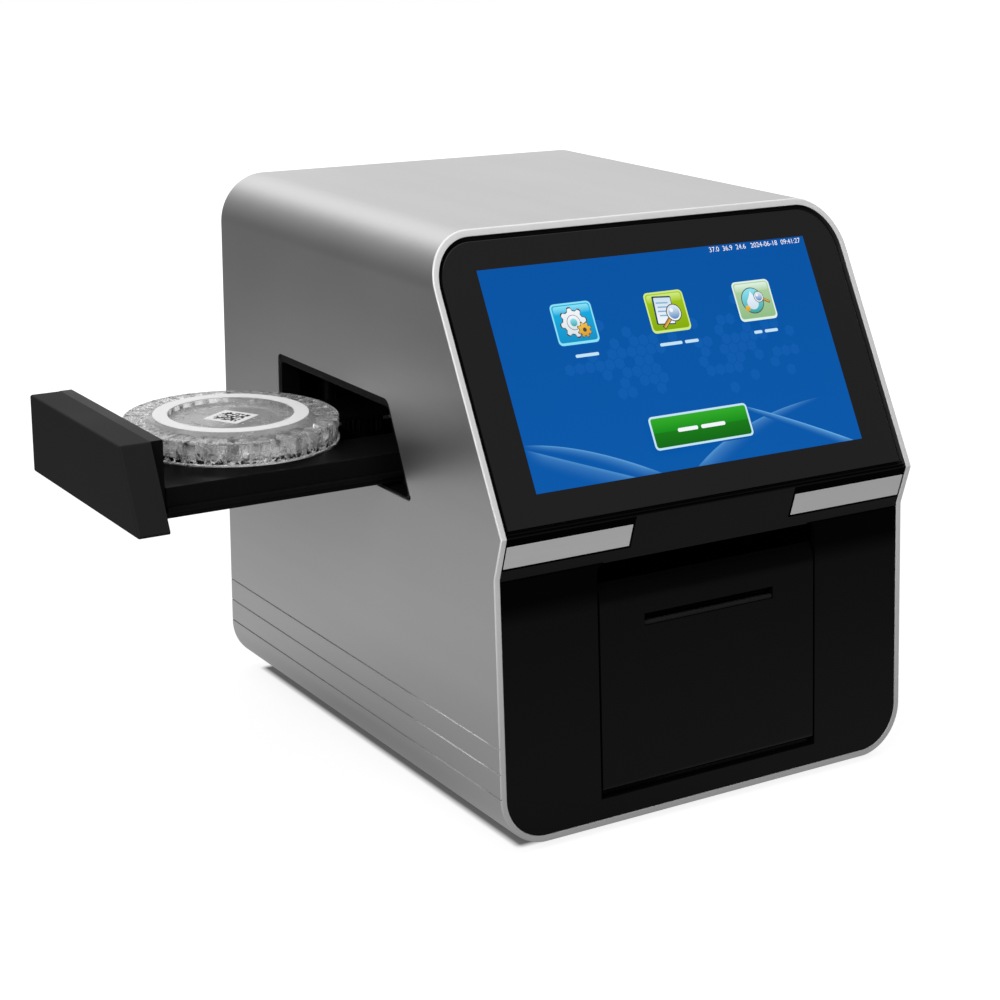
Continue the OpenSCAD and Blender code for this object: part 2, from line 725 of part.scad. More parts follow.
module drawer_rack() color("ivory") at_body() {
    z1 = tray_top - tray_wall;
    x0 = tray_x0 + 2;
    teeth = floor((tray_x1 - x0 - 2) / rack_tooth);
    first = pinion_x - round((pinion_x - x0) / rack_tooth) * rack_tooth;
    root = rack_y + 1.2 * rack_module;
    half = rack_tooth / 4 - 0.05;
    lean = tan(20) * rack_module;
    translate([0, 0, rack_z]) linear_extrude(z1 - rack_z) union() {
        translate([x0, root]) square([tray_x1 - x0, rack_y + rack_t - root]);
        for (i = [1:teeth - 1]) translate([first + (i + 0.5) * rack_tooth, rack_y])
            if (first + (i + 1) * rack_tooth < tray_x1)
                polygon([[-half - 1.2 * lean, 1.2 * rack_module + 0.1], [-half - 1.2 * lean, 1.2 * rack_module],
                    [-half + 0.9 * lean, -0.9 * rack_module], [half - 0.9 * lean, -0.9 * rack_module],
                    [half + 1.2 * lean, 1.2 * rack_module], [half + 1.2 * lean, 1.2 * rack_module + 0.1]]);
    }
}

module spindle_motor() color("gray") at_body() translate([disc_x, disc_y, tray_top - tray_wall - spindle_h])
    difference() {
        union() {
            cylinder(r = spindle_r, h = spindle_h - 1.5);
            cylinder(r = 8, h = spindle_h);
            for (a = [0:120:359]) rotate([0, 0, a + 30]) translate([spindle_r - 3, 0, 0])
                cylinder(r = 2.5, h = spindle_h);
        }
        translate([0, 0, 1.5]) cylinder(r = axle_r + run_gap, h = spindle_h);
    }

module disc_hub() color("gainsboro") at_body() translate([disc_x, disc_y, 0]) {
    translate([0, 0, tray_top - tray_wall - spindle_h + 2]) cylinder(r = axle_r, h = spindle_h + tray_wall - 1);
    translate([0, 0, tray_top + 0.4]) cylinder(r = hub_r, h = disc_lift - 0.4);
    translate([0, 0, disc_z]) cylinder(r = spigot_r, h = spigot_h);
}

// Reagent disc

module reagent_disc() color("lightcyan", 0.5) at_body() translate([disc_x, disc_y, disc_z]) difference() {
    rotate_extrude() polygon([[spigot_r + run_gap, 0], [disc_r - 1.2, 0], [disc_r - 1.2, disc_h - 4.6],
        [disc_r, disc_h - 4],
        [disc_r, disc_h - 0.6], [disc_r - 0.6, disc_h], [ring_r + 1.4, disc_h], [ring_r, disc_h + 1.2],
        [ring_r - ring_w, disc_h + 1.2], [ring_r - ring_w, disc_h - 0.6], [0, disc_h - 0.6],
        [0, spigot_h + 0.4],
        [spigot_r + run_gap, spigot_h + 0.4]]);
    for (i = [0:cuvettes - 1]) rotate([0, 0, i * 360 / cuvettes])
        block([rim_mid - 3.5, -1.6, -past], [rim_mid + 1.5, 1.6, disc_h - 1.6]);
}

module label_ring() color("white") at_body() translate([disc_x, disc_y, disc_z + disc_h + 1.2]) difference() {
    cylinder(r = ring_r - 0.2, h = label_t);
    translate([0, 0, -past]) cylinder(r = ring_r - ring_w + 0.2, h = 1 + 2 * past);
}

module code_label() color("white") at_body() translate([disc_x, disc_y, disc_z + disc_h - 0.6])
    rotate([0, 0, label_turn])
    block([-label_w / 2, -label_w / 2, 0], [label_w / 2, label_w / 2, label_t]);

// Deck, guides and drawer drive

module guide(y0, y1) block([stow_x, y0, deck_top], [guide_x1, y1, deck_top + guide_h]);
module guide_groove() block([stow_x - past, tray_y0 - tongue_t - 0.3, tongue_z - 0.3],
    [guide_x1 + past, tray_y1 + tongue_t + 0.3, tongue_z + tongue_h + 0.3]);

module guide_front() color("gray") at_body() difference() {
    guide(tray_y0 - 0.3 - guide_t, tray_y0 - 0.3);
    guide_groove();
}

module guide_rear() color("gray") at_body() difference() {
    guide(tray_y1 + 0.3, tray_y1 + 0.3 + guide_t);
    guide_groove();
}

module drawer_deck() color("lightsteelblue") at_body() difference() {
    block([deck_x0, deck_y0, deck_z], [deck_x1, deck_y1, deck_top]);
    translate([pinion_x, pinion_y, deck_z - past]) cylinder(r = 4, h = deck_t + 2 * past);
    for (p = pillar_places) translate([p.x, p.y, deck_z - past]) cylinder(r = 1.6, h = deck_t + 2 * past);
}

pillar_places = [for (x = [pillar_x0, pillar_x1], y = [deck_y0 + deck_edge, deck_y1 - deck_edge]) [x, y]];

module deck_pillars() color("gainsboro") at_body() for (p = pillar_places) translate([p.x, p.y, base_z]) {
    cylinder(r = pillar_r, h = deck_z - base_z);
    translate([0, 0, deck_z - base_z]) cylinder(r = 1.55, h = deck_t);
    translate([0, 0, deck_top - base_z]) cylinder(r = 3, h = 1.6);
}

module drawer_motor() color("gray") at_body() translate([pinion_x, pinion_y, 0]) difference() {
    union() {
        translate([0, 0, deck_z - 30]) cylinder(r = 12, h = 30);
        translate([0, 0, deck_z]) cylinder(r = 3.8, h = deck_t + 1.5);
    }
    translate([0, 0, deck_z - 15]) cylinder(r = shaft_r + run_gap, h = 40);
}

module drive_pinion() color("goldenrod") at_body() translate([pinion_x, pinion_y, 0]) {
    translate([0, 0, rack_z + 0.3]) rotate([0, 0, 90]) gear(rack_module, pinion_teeth,
        tray_top - tray_wall - rack_z - 1.3, shaft_r / 2);
    translate([0, 0, deck_z - 14]) cylinder(r = shaft_r, h = tray_top - tray_wall - deck_z + 13);
    translate([0, 0, deck_top + 2]) cylinder(r = 4.5, h = rack_z + 0.3 - deck_top - 2);
}

// Chamber and optics

module heater_plate() color("silver") at_body() difference() {
    block([stow_x, post_y0 - 5, heater_z], [heater_x1, post_y1 + 5, heater_z + heater_t]);
    translate([home_x, disc_y, heater_z - past]) cylinder(r = 12, h = heater_t + 2 * past);
    translate([beam_x, disc_y, heater_z - past]) cylinder(r = 3, h = heater_t + 2 * past);
    for (p = post_places) translate([p.x, p.y, heater_z - past]) cylinder(r = 1.6, h = heater_t + 2 * past);
}

post_places = [for (x = [stow_x + post_in, heater_x1 - 5], y = [post_y0, post_y1]) [x, y]];

module heater_posts() color("gainsboro") at_body() for (p = post_places) translate([p.x, p.y, deck_top]) {
    cylinder(r = 3.2, h = heater_z - deck_top);
    translate([0, 0, heater_z - deck_top]) cylinder(r = 1.55, h = heater_t);
    translate([0, 0, heater_z + heater_t - deck_top]) cylinder(r = 2.8, h = 1.6);
}

module optics_frame() color("dimgray") at_body() difference() {
    union() {
        block([spine_x, disc_y - arm_y, deck_top], [spine_x + spine_t, disc_y + arm_y, optics_top]);
        block([beam_x - 5, disc_y - arm_y, deck_top + 4], [spine_x, disc_y + arm_y, tray_top - 5]);
        block([beam_x - 7, disc_y - arm_y, heater_z + heater_t + 0.3], [spine_x, disc_y + arm_y, optics_top]);
    }
    translate([beam_x, disc_y, deck_top]) cylinder(r = 2.2, h = optics_top);
    translate([beam_x, disc_y, optics_top - 8]) cylinder(r = 5.05, h = 10);
}

module lamp_module() color("gainsboro") at_body() translate([beam_x, disc_y, optics_top]) {
    translate([0, 0, -7.5]) cylinder(r = 5, h = 7.5);
    cylinder(r = 7, h = 9);
    translate([0, 0, 9]) cylinder(r = 4, h = 4);
}

module detector_board() color("darkgreen") at_body() {
    block([beam_x - 5, disc_y - arm_y + 1, deck_top + 1.8], [spine_x - 1, disc_y + arm_y - 1, deck_top + 3.4]);
    block([beam_x - 3, disc_y - 3, deck_top + 3.4], [beam_x + 3, disc_y + 3, deck_top + 4]);
    block([spine_x - 8, disc_y - 6, deck_top], [spine_x - 3, disc_y + 6, deck_top + 1.8]);
}

module code_reader() color("dimgray") at_body() {
    z = heater_z + heater_t;
    difference() {
        block([home_x - 15, disc_y - 13, z], [home_x + 15, disc_y + 13, z + 14]);
        translate([home_x, disc_y, z - past]) cylinder(r = 8, h = 10);
    }
    translate([home_x, disc_y, z + 5]) cylinder(r = 5, h = 4.5);
}

// Electronics

module main_board() color("darkgreen") at_body() {
    z = base_z + board_lift;
    block([board_x0, board_y, z], [board_x1, board_y + board_d, z + 1.6]);
    block([10, board_y + 30, z + 1.6], [38, board_y + 58, z + 4]);
    block([13, board_y + 33, z + 4], [35, board_y + 55, z + 13]);
    block([48, board_y + 30, z + 1.6], [60, board_y + 42, z + 3]);
    block([48, board_y + 48, z + 1.6], [60, board_y + 60, z + 3]);
    block([board_x0 + 3, board_y + 14, z + 1.6], [board_x0 + 9, board_y + 44, z + 9]);
    block([20, board_y + 3, z + 1.6], [60, board_y + 8, z + 8]);
    for (y = [0, 12]) translate([14, board_y + board_d - 22 + y, z + 1.6]) cylinder(r = 4, h = 12);
}

module power_supply() color("darkgoldenrod") at_body() translate([-flat_x + 0.5, supply_y, base_z]) {
    sheet = 2;
    board_z = 5;
    board_top = board_z + 1.6;
    difference() {
        cube([supply_w, supply_d, supply_h]);
        block([-past, sheet, sheet], [supply_w - sheet, supply_d - sheet, supply_h + past]);
    }
    block([1, sheet + 1, board_z], [supply_w - sheet - 1, supply_d - sheet - 1, board_top]);
    for (x = [5, supply_w - 7], y = [6, supply_d - 6])
        translate([x, y, sheet]) cylinder(r = 2.5, h = board_z - sheet);
    block([12, 36, board_top], [36, 58, supply_h - 3]);
    translate([15, 20, board_top]) cylinder(r = 9, h = 21);
    for (y = [0, 12]) translate([12, supply_d - 27 + y, board_top]) cylinder(r = 5, h = 18);
    block([35, 14, board_top], [38, 34, supply_h - 4]);
}

module cooling_fan() color("black") at_body() {
    y1 = rear_y - thin_gap;
    hub = fan_w / 5;
    difference() {
        along_y(y1 - fan_d, y1) difference() {
            translate([fan_x, fan_z]) round_box(fan_w, fan_w, 3);
            translate([fan_x, fan_z]) circle(fan_w / 2 - 1.5);
            for (sx = [-1, 1], sz = [-1, 1])
                translate([fan_x + sx * (fan_w / 2 - 5), fan_z + sz * (fan_w / 2 - 5)]) circle(1.7);
        }
    }
    difference() {
        along_y(y1 - fan_d, y1 - fan_d + 2.5) {
            translate([fan_x, fan_z]) circle(hub);
            for (a = [45:90:359]) translate([fan_x, fan_z]) rotate(a) translate([0, -1.5])
                square([fan_w / 2 - 1, 3]);
        }
        translate([fan_x, y1 - fan_d - past, fan_z]) rotate([-90, 0, 0]) cylinder(r = axle_r + run_gap, h = 5);
    }
}

module fan_rotor() color("dimgray") at_body() {
    y1 = rear_y - thin_gap - 2.2;
    y0 = rear_y - thin_gap - fan_d + 3.2;
    hub = fan_w / 5;
    along_y(y0, y1) translate([fan_x, fan_z]) circle(hub);
    translate([fan_x, y0 - 2.8, fan_z]) rotate([-90, 0, 0]) cylinder(r = axle_r, h = 3);
    for (i = [0:fan_blades - 1]) translate([fan_x, (y0 + y1) / 2, fan_z]) rotate([0, i * 360 / fan_blades, 0])
        translate([hub - 0.6, 0, 0]) rotate([40, 0, 0]) translate([0, -0.6, -5])
            cube([fan_w / 2 - 2.6 - hub, 1.2, 10]);
}

module fan_guard() color("gainsboro") at_body() translate([fan_x, rear_y + rear_t, fan_z])
    rotate([-90, 0, 0]) {
    wire = 0.8;
    for (i = [1:4]) translate([0, 0, wire + 0.8]) rotate_extrude()
        translate([i * (fan_w / 2 - 3) / 4, 0]) circle(wire, $fn = 24);
    for (a = [45, 135]) rotate([0, 0, a]) translate([-(fan_w / 2 - 5) * sqrt(2) + 3, 0, wire + 0.8 - 0.6])
        rotate([0, 90, 0]) cylinder(r = wire, h = (fan_w / 2 - 5) * 2 * sqrt(2) - 6, $fn = 24);
    for (sx = [-1, 1], sy = [-1, 1]) translate([sx * (fan_w / 2 - 5), sy * (fan_w / 2 - 5), 0]) {
        cylinder(r = 4, h = 1.2);
        translate([0, 0, 1.2]) cylinder(r = 2.8, h = 1.6);
        translate([0, 0, -rear_t - 8]) cylinder(r = 1.5, h = rear_t + 8);
    }
}

module power_inlet() color("black") at_body() {
    y1 = rear_y + rear_t;
    difference() {
        union() {
            along_y(y1, y1 + 2.5) translate([inlet_x, port_z]) round_box(31, 24, 3);
            along_y(y1 - 22, y1) translate([inlet_x, port_z]) square([27, 20], center = true);
        }
        along_y(y1 - 14, y1 + 4) translate([inlet_x, port_z])
            polygon([[-12, -8], [12, -8], [12, 4.5], [8.5, 8], [-8.5, 8], [-12, 4.5]]);
    }
    for (p = [[-7, -1.5], [7, -1.5], [0, 3]]) translate([inlet_x + p.x, 0, port_z + p.y])
        block([-1, y1 - 15, -2], [1, y1 - 3.5, 2]);
}

module switch_frame() color("black") at_body() {
    y1 = rear_y + rear_t;
    difference() {
        union() {
            along_y(y1, y1 + 1.8) translate([switch_x, port_z]) round_box(16, 22.5, 1.5);
            along_y(y1 - 18, y1) translate([switch_x, port_z]) square([13, 19.2], center = true);
        }
        along_y(y1 - 9, y1 + 4) translate([switch_x, port_z]) square([11, 16.6], center = true);
        translate([0, y1 - 1, port_z]) rod(1 + run_gap, switch_x - 6.3, switch_x + 6.3);
    }
}

module power_rocker() color("dimgray") at_body() translate([0, rear_y + rear_t - 1, port_z])
    rotate([rocker_tilt, 0, 0]) {
    rod(1, switch_x - 6.1, switch_x + 6.1);
    along_x(switch_x - 5.2, switch_x + 5.2)
        polygon([[-2, -6], [-2, 6], [1.2, 7.6], [3.2, 7.2], [2.1, 0], [3.2, -7.2], [1.2, -7.6]]);
}

module io_ports() color("silver") at_body() {
    y1 = rear_y + rear_t;
    difference() {
        along_y(y1 - 18, y1 + 0.4) translate([ports_x, port_z]) square([44, 16], center = true);
        along_y(y1 - 12, y1 + past) translate([ports_x - 13, port_z]) square([12, 8], center = true);
        for (sz = [-4, 4]) along_y(y1 - 12, y1 + past) translate([ports_x + 11, port_z + sz])
            square([13.2, 5.6], center = true);
    }
    for (sz = [-4, 4])
        block([ports_x + 5.6, y1 - 13, port_z + sz], [ports_x + 16.4, y1 - 1.5, port_z + sz + 1.8]);
}

sleeve_shell();
rear_panel();
base_plate();
foot_front_left();
foot_front_right();
foot_rear_left();
foot_rear_right();
foot_screws();
rear_screws();
screen_carrier();
lcd_module();
touch_glass();
chin_bar();
chin_strip_left();
chin_strip_right();
lower_fascia();
printer_door();
door_pins();
tear_bar();
platen_shaft();
platen_roller();
platen_gear();
printer_cradle();
roll_spindle();
paper_roll();
print_head();
printer_motor();
motor_pinion();
idler_gear();
slot_bezel();
drawer_front();
drawer_tray();
drawer_rack();
spindle_motor();
disc_hub();
reagent_disc();
label_ring();
code_label();
guide_front();
guide_rear();
drawer_deck();
deck_pillars();
drawer_motor();
drive_pinion();
optics_frame();
lamp_module();
detector_board();
heater_plate();
heater_posts();
code_reader();
main_board();
power_supply();
cooling_fan();
fan_rotor();
fan_guard();
power_inlet();
power_rocker();
switch_frame();
io_ports();
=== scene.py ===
# Benchtop chemistry analyzer: the looks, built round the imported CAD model.
# Places are in millimetres in a frame of their own, and each piece is set into the row frame
# when it is finished.
import json
import math
import random

import bmesh
import bpy
from mathutils import Matrix, Vector


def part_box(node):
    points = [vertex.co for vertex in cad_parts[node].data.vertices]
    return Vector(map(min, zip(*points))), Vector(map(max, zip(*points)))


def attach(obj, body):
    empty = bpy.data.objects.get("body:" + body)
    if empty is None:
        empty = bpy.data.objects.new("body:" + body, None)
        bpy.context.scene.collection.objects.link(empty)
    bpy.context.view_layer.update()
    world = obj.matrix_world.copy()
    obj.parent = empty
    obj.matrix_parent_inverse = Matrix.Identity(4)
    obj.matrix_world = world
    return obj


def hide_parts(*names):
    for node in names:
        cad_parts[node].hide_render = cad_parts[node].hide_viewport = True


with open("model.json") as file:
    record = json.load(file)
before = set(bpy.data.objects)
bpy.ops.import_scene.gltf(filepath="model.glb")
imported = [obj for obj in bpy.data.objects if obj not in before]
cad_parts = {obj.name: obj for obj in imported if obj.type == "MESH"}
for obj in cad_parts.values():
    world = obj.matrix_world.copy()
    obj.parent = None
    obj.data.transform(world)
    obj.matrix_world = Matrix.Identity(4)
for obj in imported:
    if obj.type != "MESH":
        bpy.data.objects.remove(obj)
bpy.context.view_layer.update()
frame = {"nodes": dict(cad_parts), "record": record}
print("frame loaded with", len(frame["nodes"]), "nodes")

mm = 0.001
over = 1  # how far a cutter reaches past what it cuts
rowShift = (54.5, -115.5, 3.0)
# The front's profile is given by its corners, each with how far back and how high it is
sleeve = {"width": 194, "height": 221.5, "depth": 231, "wall": 2.5, "corner": 20, "cornerSteps": 24,
          "front": ((0, 0), (7.6, 103.8), (3.1, 120.2), (60.3, 221.5)),
          "rimBevel": 0.55, "innerBevel": 0.35, "rearBevel": 0.4, "slotBevel": 0.45,
          "slotLow": 118.2, "slotHigh": 154.3, "slotRear": 178.4, "slotFront": 67.2, "slotLean": 0.5,
          "slotCorner": 2.5, "slotSteps": 6, "grooveDepth": 0.4, "grooveHeight": 0.4, "grooveZ": 20.7,
          "grooveStep": 9.7, "grooves": 3, "grooveSlope": 0.8, "grooveFacing": (0.5, 0.95),
          "frontFacing": 0.3, "rearFacing": -0.9, "skin": 0.5, "near": 1e-3, "weld": 1e-4}

# The camera stands where the photograph was taken from
camera = {"place": (-0.43092, -0.72755, 0.35589), "turn": -32.224, "tilt": 73.361, "roll": 0.482,
          "lens": 77.52, "sensor": 36, "near": 0.01}


def rotation(degrees, axis):
    return Matrix.Rotation(math.radians(degrees), 4, axis)


def inScene(name, data):
    holder = bpy.data.objects.new(name, data)
    bpy.context.scene.collection.objects.link(holder)
    return holder


def setCamera():
    lens = bpy.data.cameras.new("photoCamera")
    lens.lens, lens.sensor_width, lens.clip_start = camera["lens"], camera["sensor"], camera["near"]
    turn = rotation(camera["turn"], "Z") @ rotation(camera["tilt"], "X") @ rotation(camera["roll"], "Z")
    holder = inScene("photoCamera", lens)
    holder.matrix_world = Matrix.Translation(camera["place"]) @ turn
    bpy.context.scene.camera = holder
    print("camera set")


setCamera()

# Frames: u across, v up, w outwards, from millimetres to the row frame's metres
toRow = Matrix.Scale(mm, 4) @ Matrix.Translation(rowShift)


def facePlace(back, up, lean):
    return toRow @ Matrix.Translation((0, back, up)) @ rotation(90 - lean, "X")


uprightPlace = facePlace(0, 0, 0)
lowerPlace, chinPlace, slopePlace = (
    facePlace(*low, math.degrees(math.atan2(high[0] - low[0], high[1] - low[1])))
    for low, high in zip(sleeve["front"], sleeve["front"][1:]))


# Shader sockets that work in Python expressions
class Wire:
    def __init__(self, shader, socket):
        self.shader, self.socket = shader, socket

    def __add__(self, other):
        return self.shader.maths("ADD", self, other)

    def __sub__(self, other):
        return self.shader.maths("SUBTRACT", self, other)

    def __rsub__(self, other):
        return self.shader.maths("SUBTRACT", other, self)

    def __mul__(self, other):
        return self.shader.maths("MULTIPLY", self, other)


class Shader:
    def __init__(self, owner):
        owner.use_nodes = True
        self.owner, self.tree = owner, owner.node_tree
        self.tree.nodes.clear()

    def node(self, kind, settings=(), sockets=(), output=0):
        made = self.tree.nodes.new("ShaderNode" + kind)
        for name, value in dict(settings).items():
            setattr(made, name, value)
        for name, value in dict(sockets).items():
            if isinstance(value, Wire):
                self.tree.links.new(value.socket, made.inputs[name])
            else:
                made.inputs[name].default_value = value
        return Wire(self, made.outputs[output]) if made.outputs else None

    def maths(self, operation, *values):
        return self.node("Math", {"operation": operation}, enumerate(values))

    def places(self, scale=(1, 1, 1), shift=(0, 0, 0)):
        spot = self.node("TexCoord", output="Object")
        return self.node("Mapping", {}, {"Vector": spot, "Scale": scale, "Location": shift})

    def axis(self, name, vector=None):
        return self.node("SeparateXYZ", {}, {"Vector": vector or self.places()}, name)

    def noise(self, scale, detail=3, stretch=(1, 1, 1)):
        return self.node("TexNoise", {}, {"Vector": self.places(stretch), "Scale": scale, "Detail": detail,
                                          "Roughness": 0.55})

    def ramp(self, value, low, high, start=0.0, end=1.0):
        return self.node("MapRange", {"clamp": True}, {"Value": value, "From Min": low, "From Max": high,
                                                       "To Min": start, "To Max": end})

    def blend(self, factor, first, second):
        return self.node("Mix", {"data_type": "RGBA"}, {0: factor, 6: first, 7: second}, 2)

    def bump(self, height, depth):
        return self.node("Bump", {}, {"Height": height, "Strength": 1.0, "Distance": depth})

    def seen(self):
        # 1 for what the camera sees, also through clear pieces, and 0 for mirrored and bounced light
        straight = self.node("LightPath", output="Is Camera Ray")
        return self.ramp(straight + self.node("LightPath", output="Is Transmission Ray"), 0, 1)

    def close(self, **sockets):
        named = {name.replace("_", " "): value for name, value in sockets.items()}
        self.node("OutputMaterial", {}, {"Surface": self.node("BsdfPrincipled", {}, named)})
        return self.owner


def newShader(name):
    return Shader(bpy.data.materials.new(name))


def grey(level, tint=0.0):
    return (level - tint, level, level + tint, 1)


def satinAluminium():
    s = newShader("satinAluminium")
    grain, cloud, streak, wave = s.noise(2600, 2), s.noise(7, 2), s.noise(60, 3, (1, 0.02, 1)), s.noise(70, 3)
    tone = s.ramp(cloud * 0.7 + streak * 0.3, 0.35, 0.65)
    return s.close(Base_Color=s.blend(tone, grey(0.60), grey(0.655, 0.002)), Metallic=1.0,
                   Roughness=s.ramp(grain * 0.5 + cloud * 0.5, 0.3, 0.7, 0.36, 0.44),
                   Normal=s.bump(grain * 0.15 + wave, 0.00008))


# How bright the cut faces and groove faces are, painted by place as shade and highlight: a range of places in
# metres and the tones that it runs between
bright = {"rimLow": (0.0, 0.1, 0, 0.8), "rimHigh": (0.1, 0.125, 0, 0.1),
          "grooveBack": (-0.07, -0.045, 0.8, 0.1), "grooveFront": (-0.1, -0.106, 0, 0.45),
          "grooveUp": (0.026, 0.03, 0.5, 1)}


def cutAluminium():
    # the cut faces are a near-white copy of the aluminium with little metal: partly a real bright cut finish,
    # partly a painted highlight. They are painted darker lower down as shade, and a little lighter up the
    # slope as highlight
    s = newShader("cutAluminium")
    line, up = s.noise(900, 2, (1, 0.3, 0.3)), s.axis("Z")
    tone = s.ramp(up, *bright["rimLow"]) + s.ramp(up, *bright["rimHigh"]) + line * 0.1
    return s.close(Base_Color=s.blend(tone, grey(0.5), grey(0.97)), Metallic=0.3,
                   Roughness=s.ramp(line, 0.3, 0.7, 0.46, 0.56))


def grooveAluminium():
    # the sloping lower face of each side groove has a painted highlight: brighter towards the front, dimmer
    # again just behind the rim, and dimmer on the lowest groove
    s = newShader("grooveAluminium")
    line, back, up = s.noise(900, 2, (0.3, 1, 0.3)), s.axis("Y"), s.axis("Z")
    paintedHighlight = s.ramp(back, *bright["grooveBack"]) - s.ramp(back, *bright["grooveFront"])
    tone = paintedHighlight * s.ramp(up, *bright["grooveUp"]) + line * 0.05
    return s.close(Base_Color=s.blend(tone, grey(0.2), grey(0.97)), Metallic=0.3,
                   Roughness=s.ramp(line, 0.3, 0.7, 0.4, 0.5))


def stripAluminium():
    s = newShader("stripAluminium")
    brush, cloud = s.noise(40, 4, (0.6, 40, 40)), s.noise(20, 2)
    return s.close(Base_Color=s.blend(brush * 0.5 + cloud * 0.5, grey(0.66), grey(0.79)), Metallic=1.0,
                   Roughness=s.ramp(brush, 0.3, 0.7, 0.42, 0.52), Normal=s.bump(brush, 0.00001))


def blackMoulding(name, level, low, high, specular):
    s = newShader(name)
    grain, smear = s.noise(1800, 2), s.noise(14, 3)
    return s.close(Base_Color=s.blend(smear, grey(level), grey(level * 1.35)),
                   Roughness=s.ramp(grain * 0.3 + smear * 0.7, 0.3, 0.7, low, high),
                   Specular_IOR_Level=specular, Normal=s.bump(grain, 0.000006))


def frontBlack(low, high):
    # glossy, but for a deep matt band near its upper edge, which is painted shade under the chin
    s = newShader("frontBlack")
    grain, smear = s.noise(1800, 2), s.noise(14, 3)
    gloss = s.node("BsdfPrincipled", {}, {"Base Color": s.blend(smear, grey(0.0022), grey(0.003)),
                                          "Roughness": s.ramp(grain * 0.3 + smear * 0.7, 0.3, 0.7, 0.2, 0.32),
                                          "Specular IOR Level": 0.1, "Normal": s.bump(grain, 0.000006)})
    matt = s.node("BsdfPrincipled", {}, {"Base Color": grey(0.0012), "Roughness": 0.8,
                                         "Specular IOR Level": 0.01})
    mixed = s.node("MixShader", {}, {0: s.ramp(s.axis("Z"), low, high, 0, 0.9), 1: gloss, 2: matt})
    s.node("OutputMaterial", {}, {"Surface": mixed})
    return s.owner


def glassBlack():
    s = newShader("blackGlass")
    smear, dust = s.noise(11, 3), s.noise(900, 2)
    return s.close(Base_Color=s.blend(smear, grey(0.0065), grey(0.0085)),
                   Roughness=s.ramp(smear, 0.35, 0.7, 0.06, 0.16) + s.ramp(dust, 0.66, 0.75, 0.0, 0.1),
                   Specular_IOR_Level=0.42)


def sheetMetal(name, colour, roughness, spangle=0.0):
    s = newShader(name)
    brush, grain = s.noise(30, 3, (1, 25, 25)), s.noise(700, 2)
    flake = s.node("TexVoronoi", {}, {"Vector": s.places(), "Scale": 160}, "Color")
    tone = brush * (1 - spangle) + s.node("SeparateColor", {}, {"Color": flake}) * spangle
    darker = tuple(0.72 * c for c in colour[:3]) + (1,)
    return s.close(Base_Color=s.blend(tone, darker, colour), Metallic=1.0,
                   Roughness=s.ramp(tone * 0.6 + grain * 0.4, 0.2, 0.8, roughness - 0.06, roughness + 0.08),
                   Normal=s.bump(grain, 0.000008))


def plainPlastic(name, colour, roughness, specular=0.4):
    s = newShader(name)
    grain, cloud = s.noise(1500, 2), s.noise(25, 2)
    darker = tuple(0.88 * c for c in colour[:3]) + (1,)
    return s.close(Base_Color=s.blend(cloud, darker, colour), Specular_IOR_Level=specular,
                   Roughness=s.ramp(grain, 0.3, 0.7, roughness - 0.05, roughness + 0.08),
                   Normal=s.bump(grain, 0.00001))


def frostedPlastic():
    s = newShader("frostedPlastic")
    haze, flow = s.noise(30, 2), s.noise(160, 3)
    return s.close(Base_Color=s.blend(s.ramp(haze * 0.5 + flow * 0.5, 0.35, 0.65), grey(0.62), grey(0.78)),
                   Transmission_Weight=0.7, IOR=1.49, Roughness=s.ramp(flow, 0.3, 0.7, 0.18, 0.3),
                   Normal=s.bump(flow, 0.0001))


# The clear disc's cells, with their painted shade and painted glints: places in metres from its middle,
# shares of a cell, and levels of the noises
clear = {"middle": (-0.0876, 0.0135, 0.1378), "cells": 30, "drift": 0.4, "pips": (0.6, 0.66),
         "footTop": (0.0026, 0.0034, 1, 0), "footLow": (0.0009, 0.0012), "footSpark": (0.49, 0.45),
         "gapWide": (0.14, 0.09), "gapFlow": (0.48, 0.52), "gapUp": (0.0066, 0.0085, 0.2, 0.9),
         "beadWide": (0.445, 0.47), "beadLow": (0.0027, 0.0034), "beadTop": (0.0058, 0.005),
         "lipUp": (0.0009, 0.0007), "lipSpark": (0.42, 0.46), "rimUp": (0.0089, 0.0086),
         "rimSpark": (0.64, 0.67)}


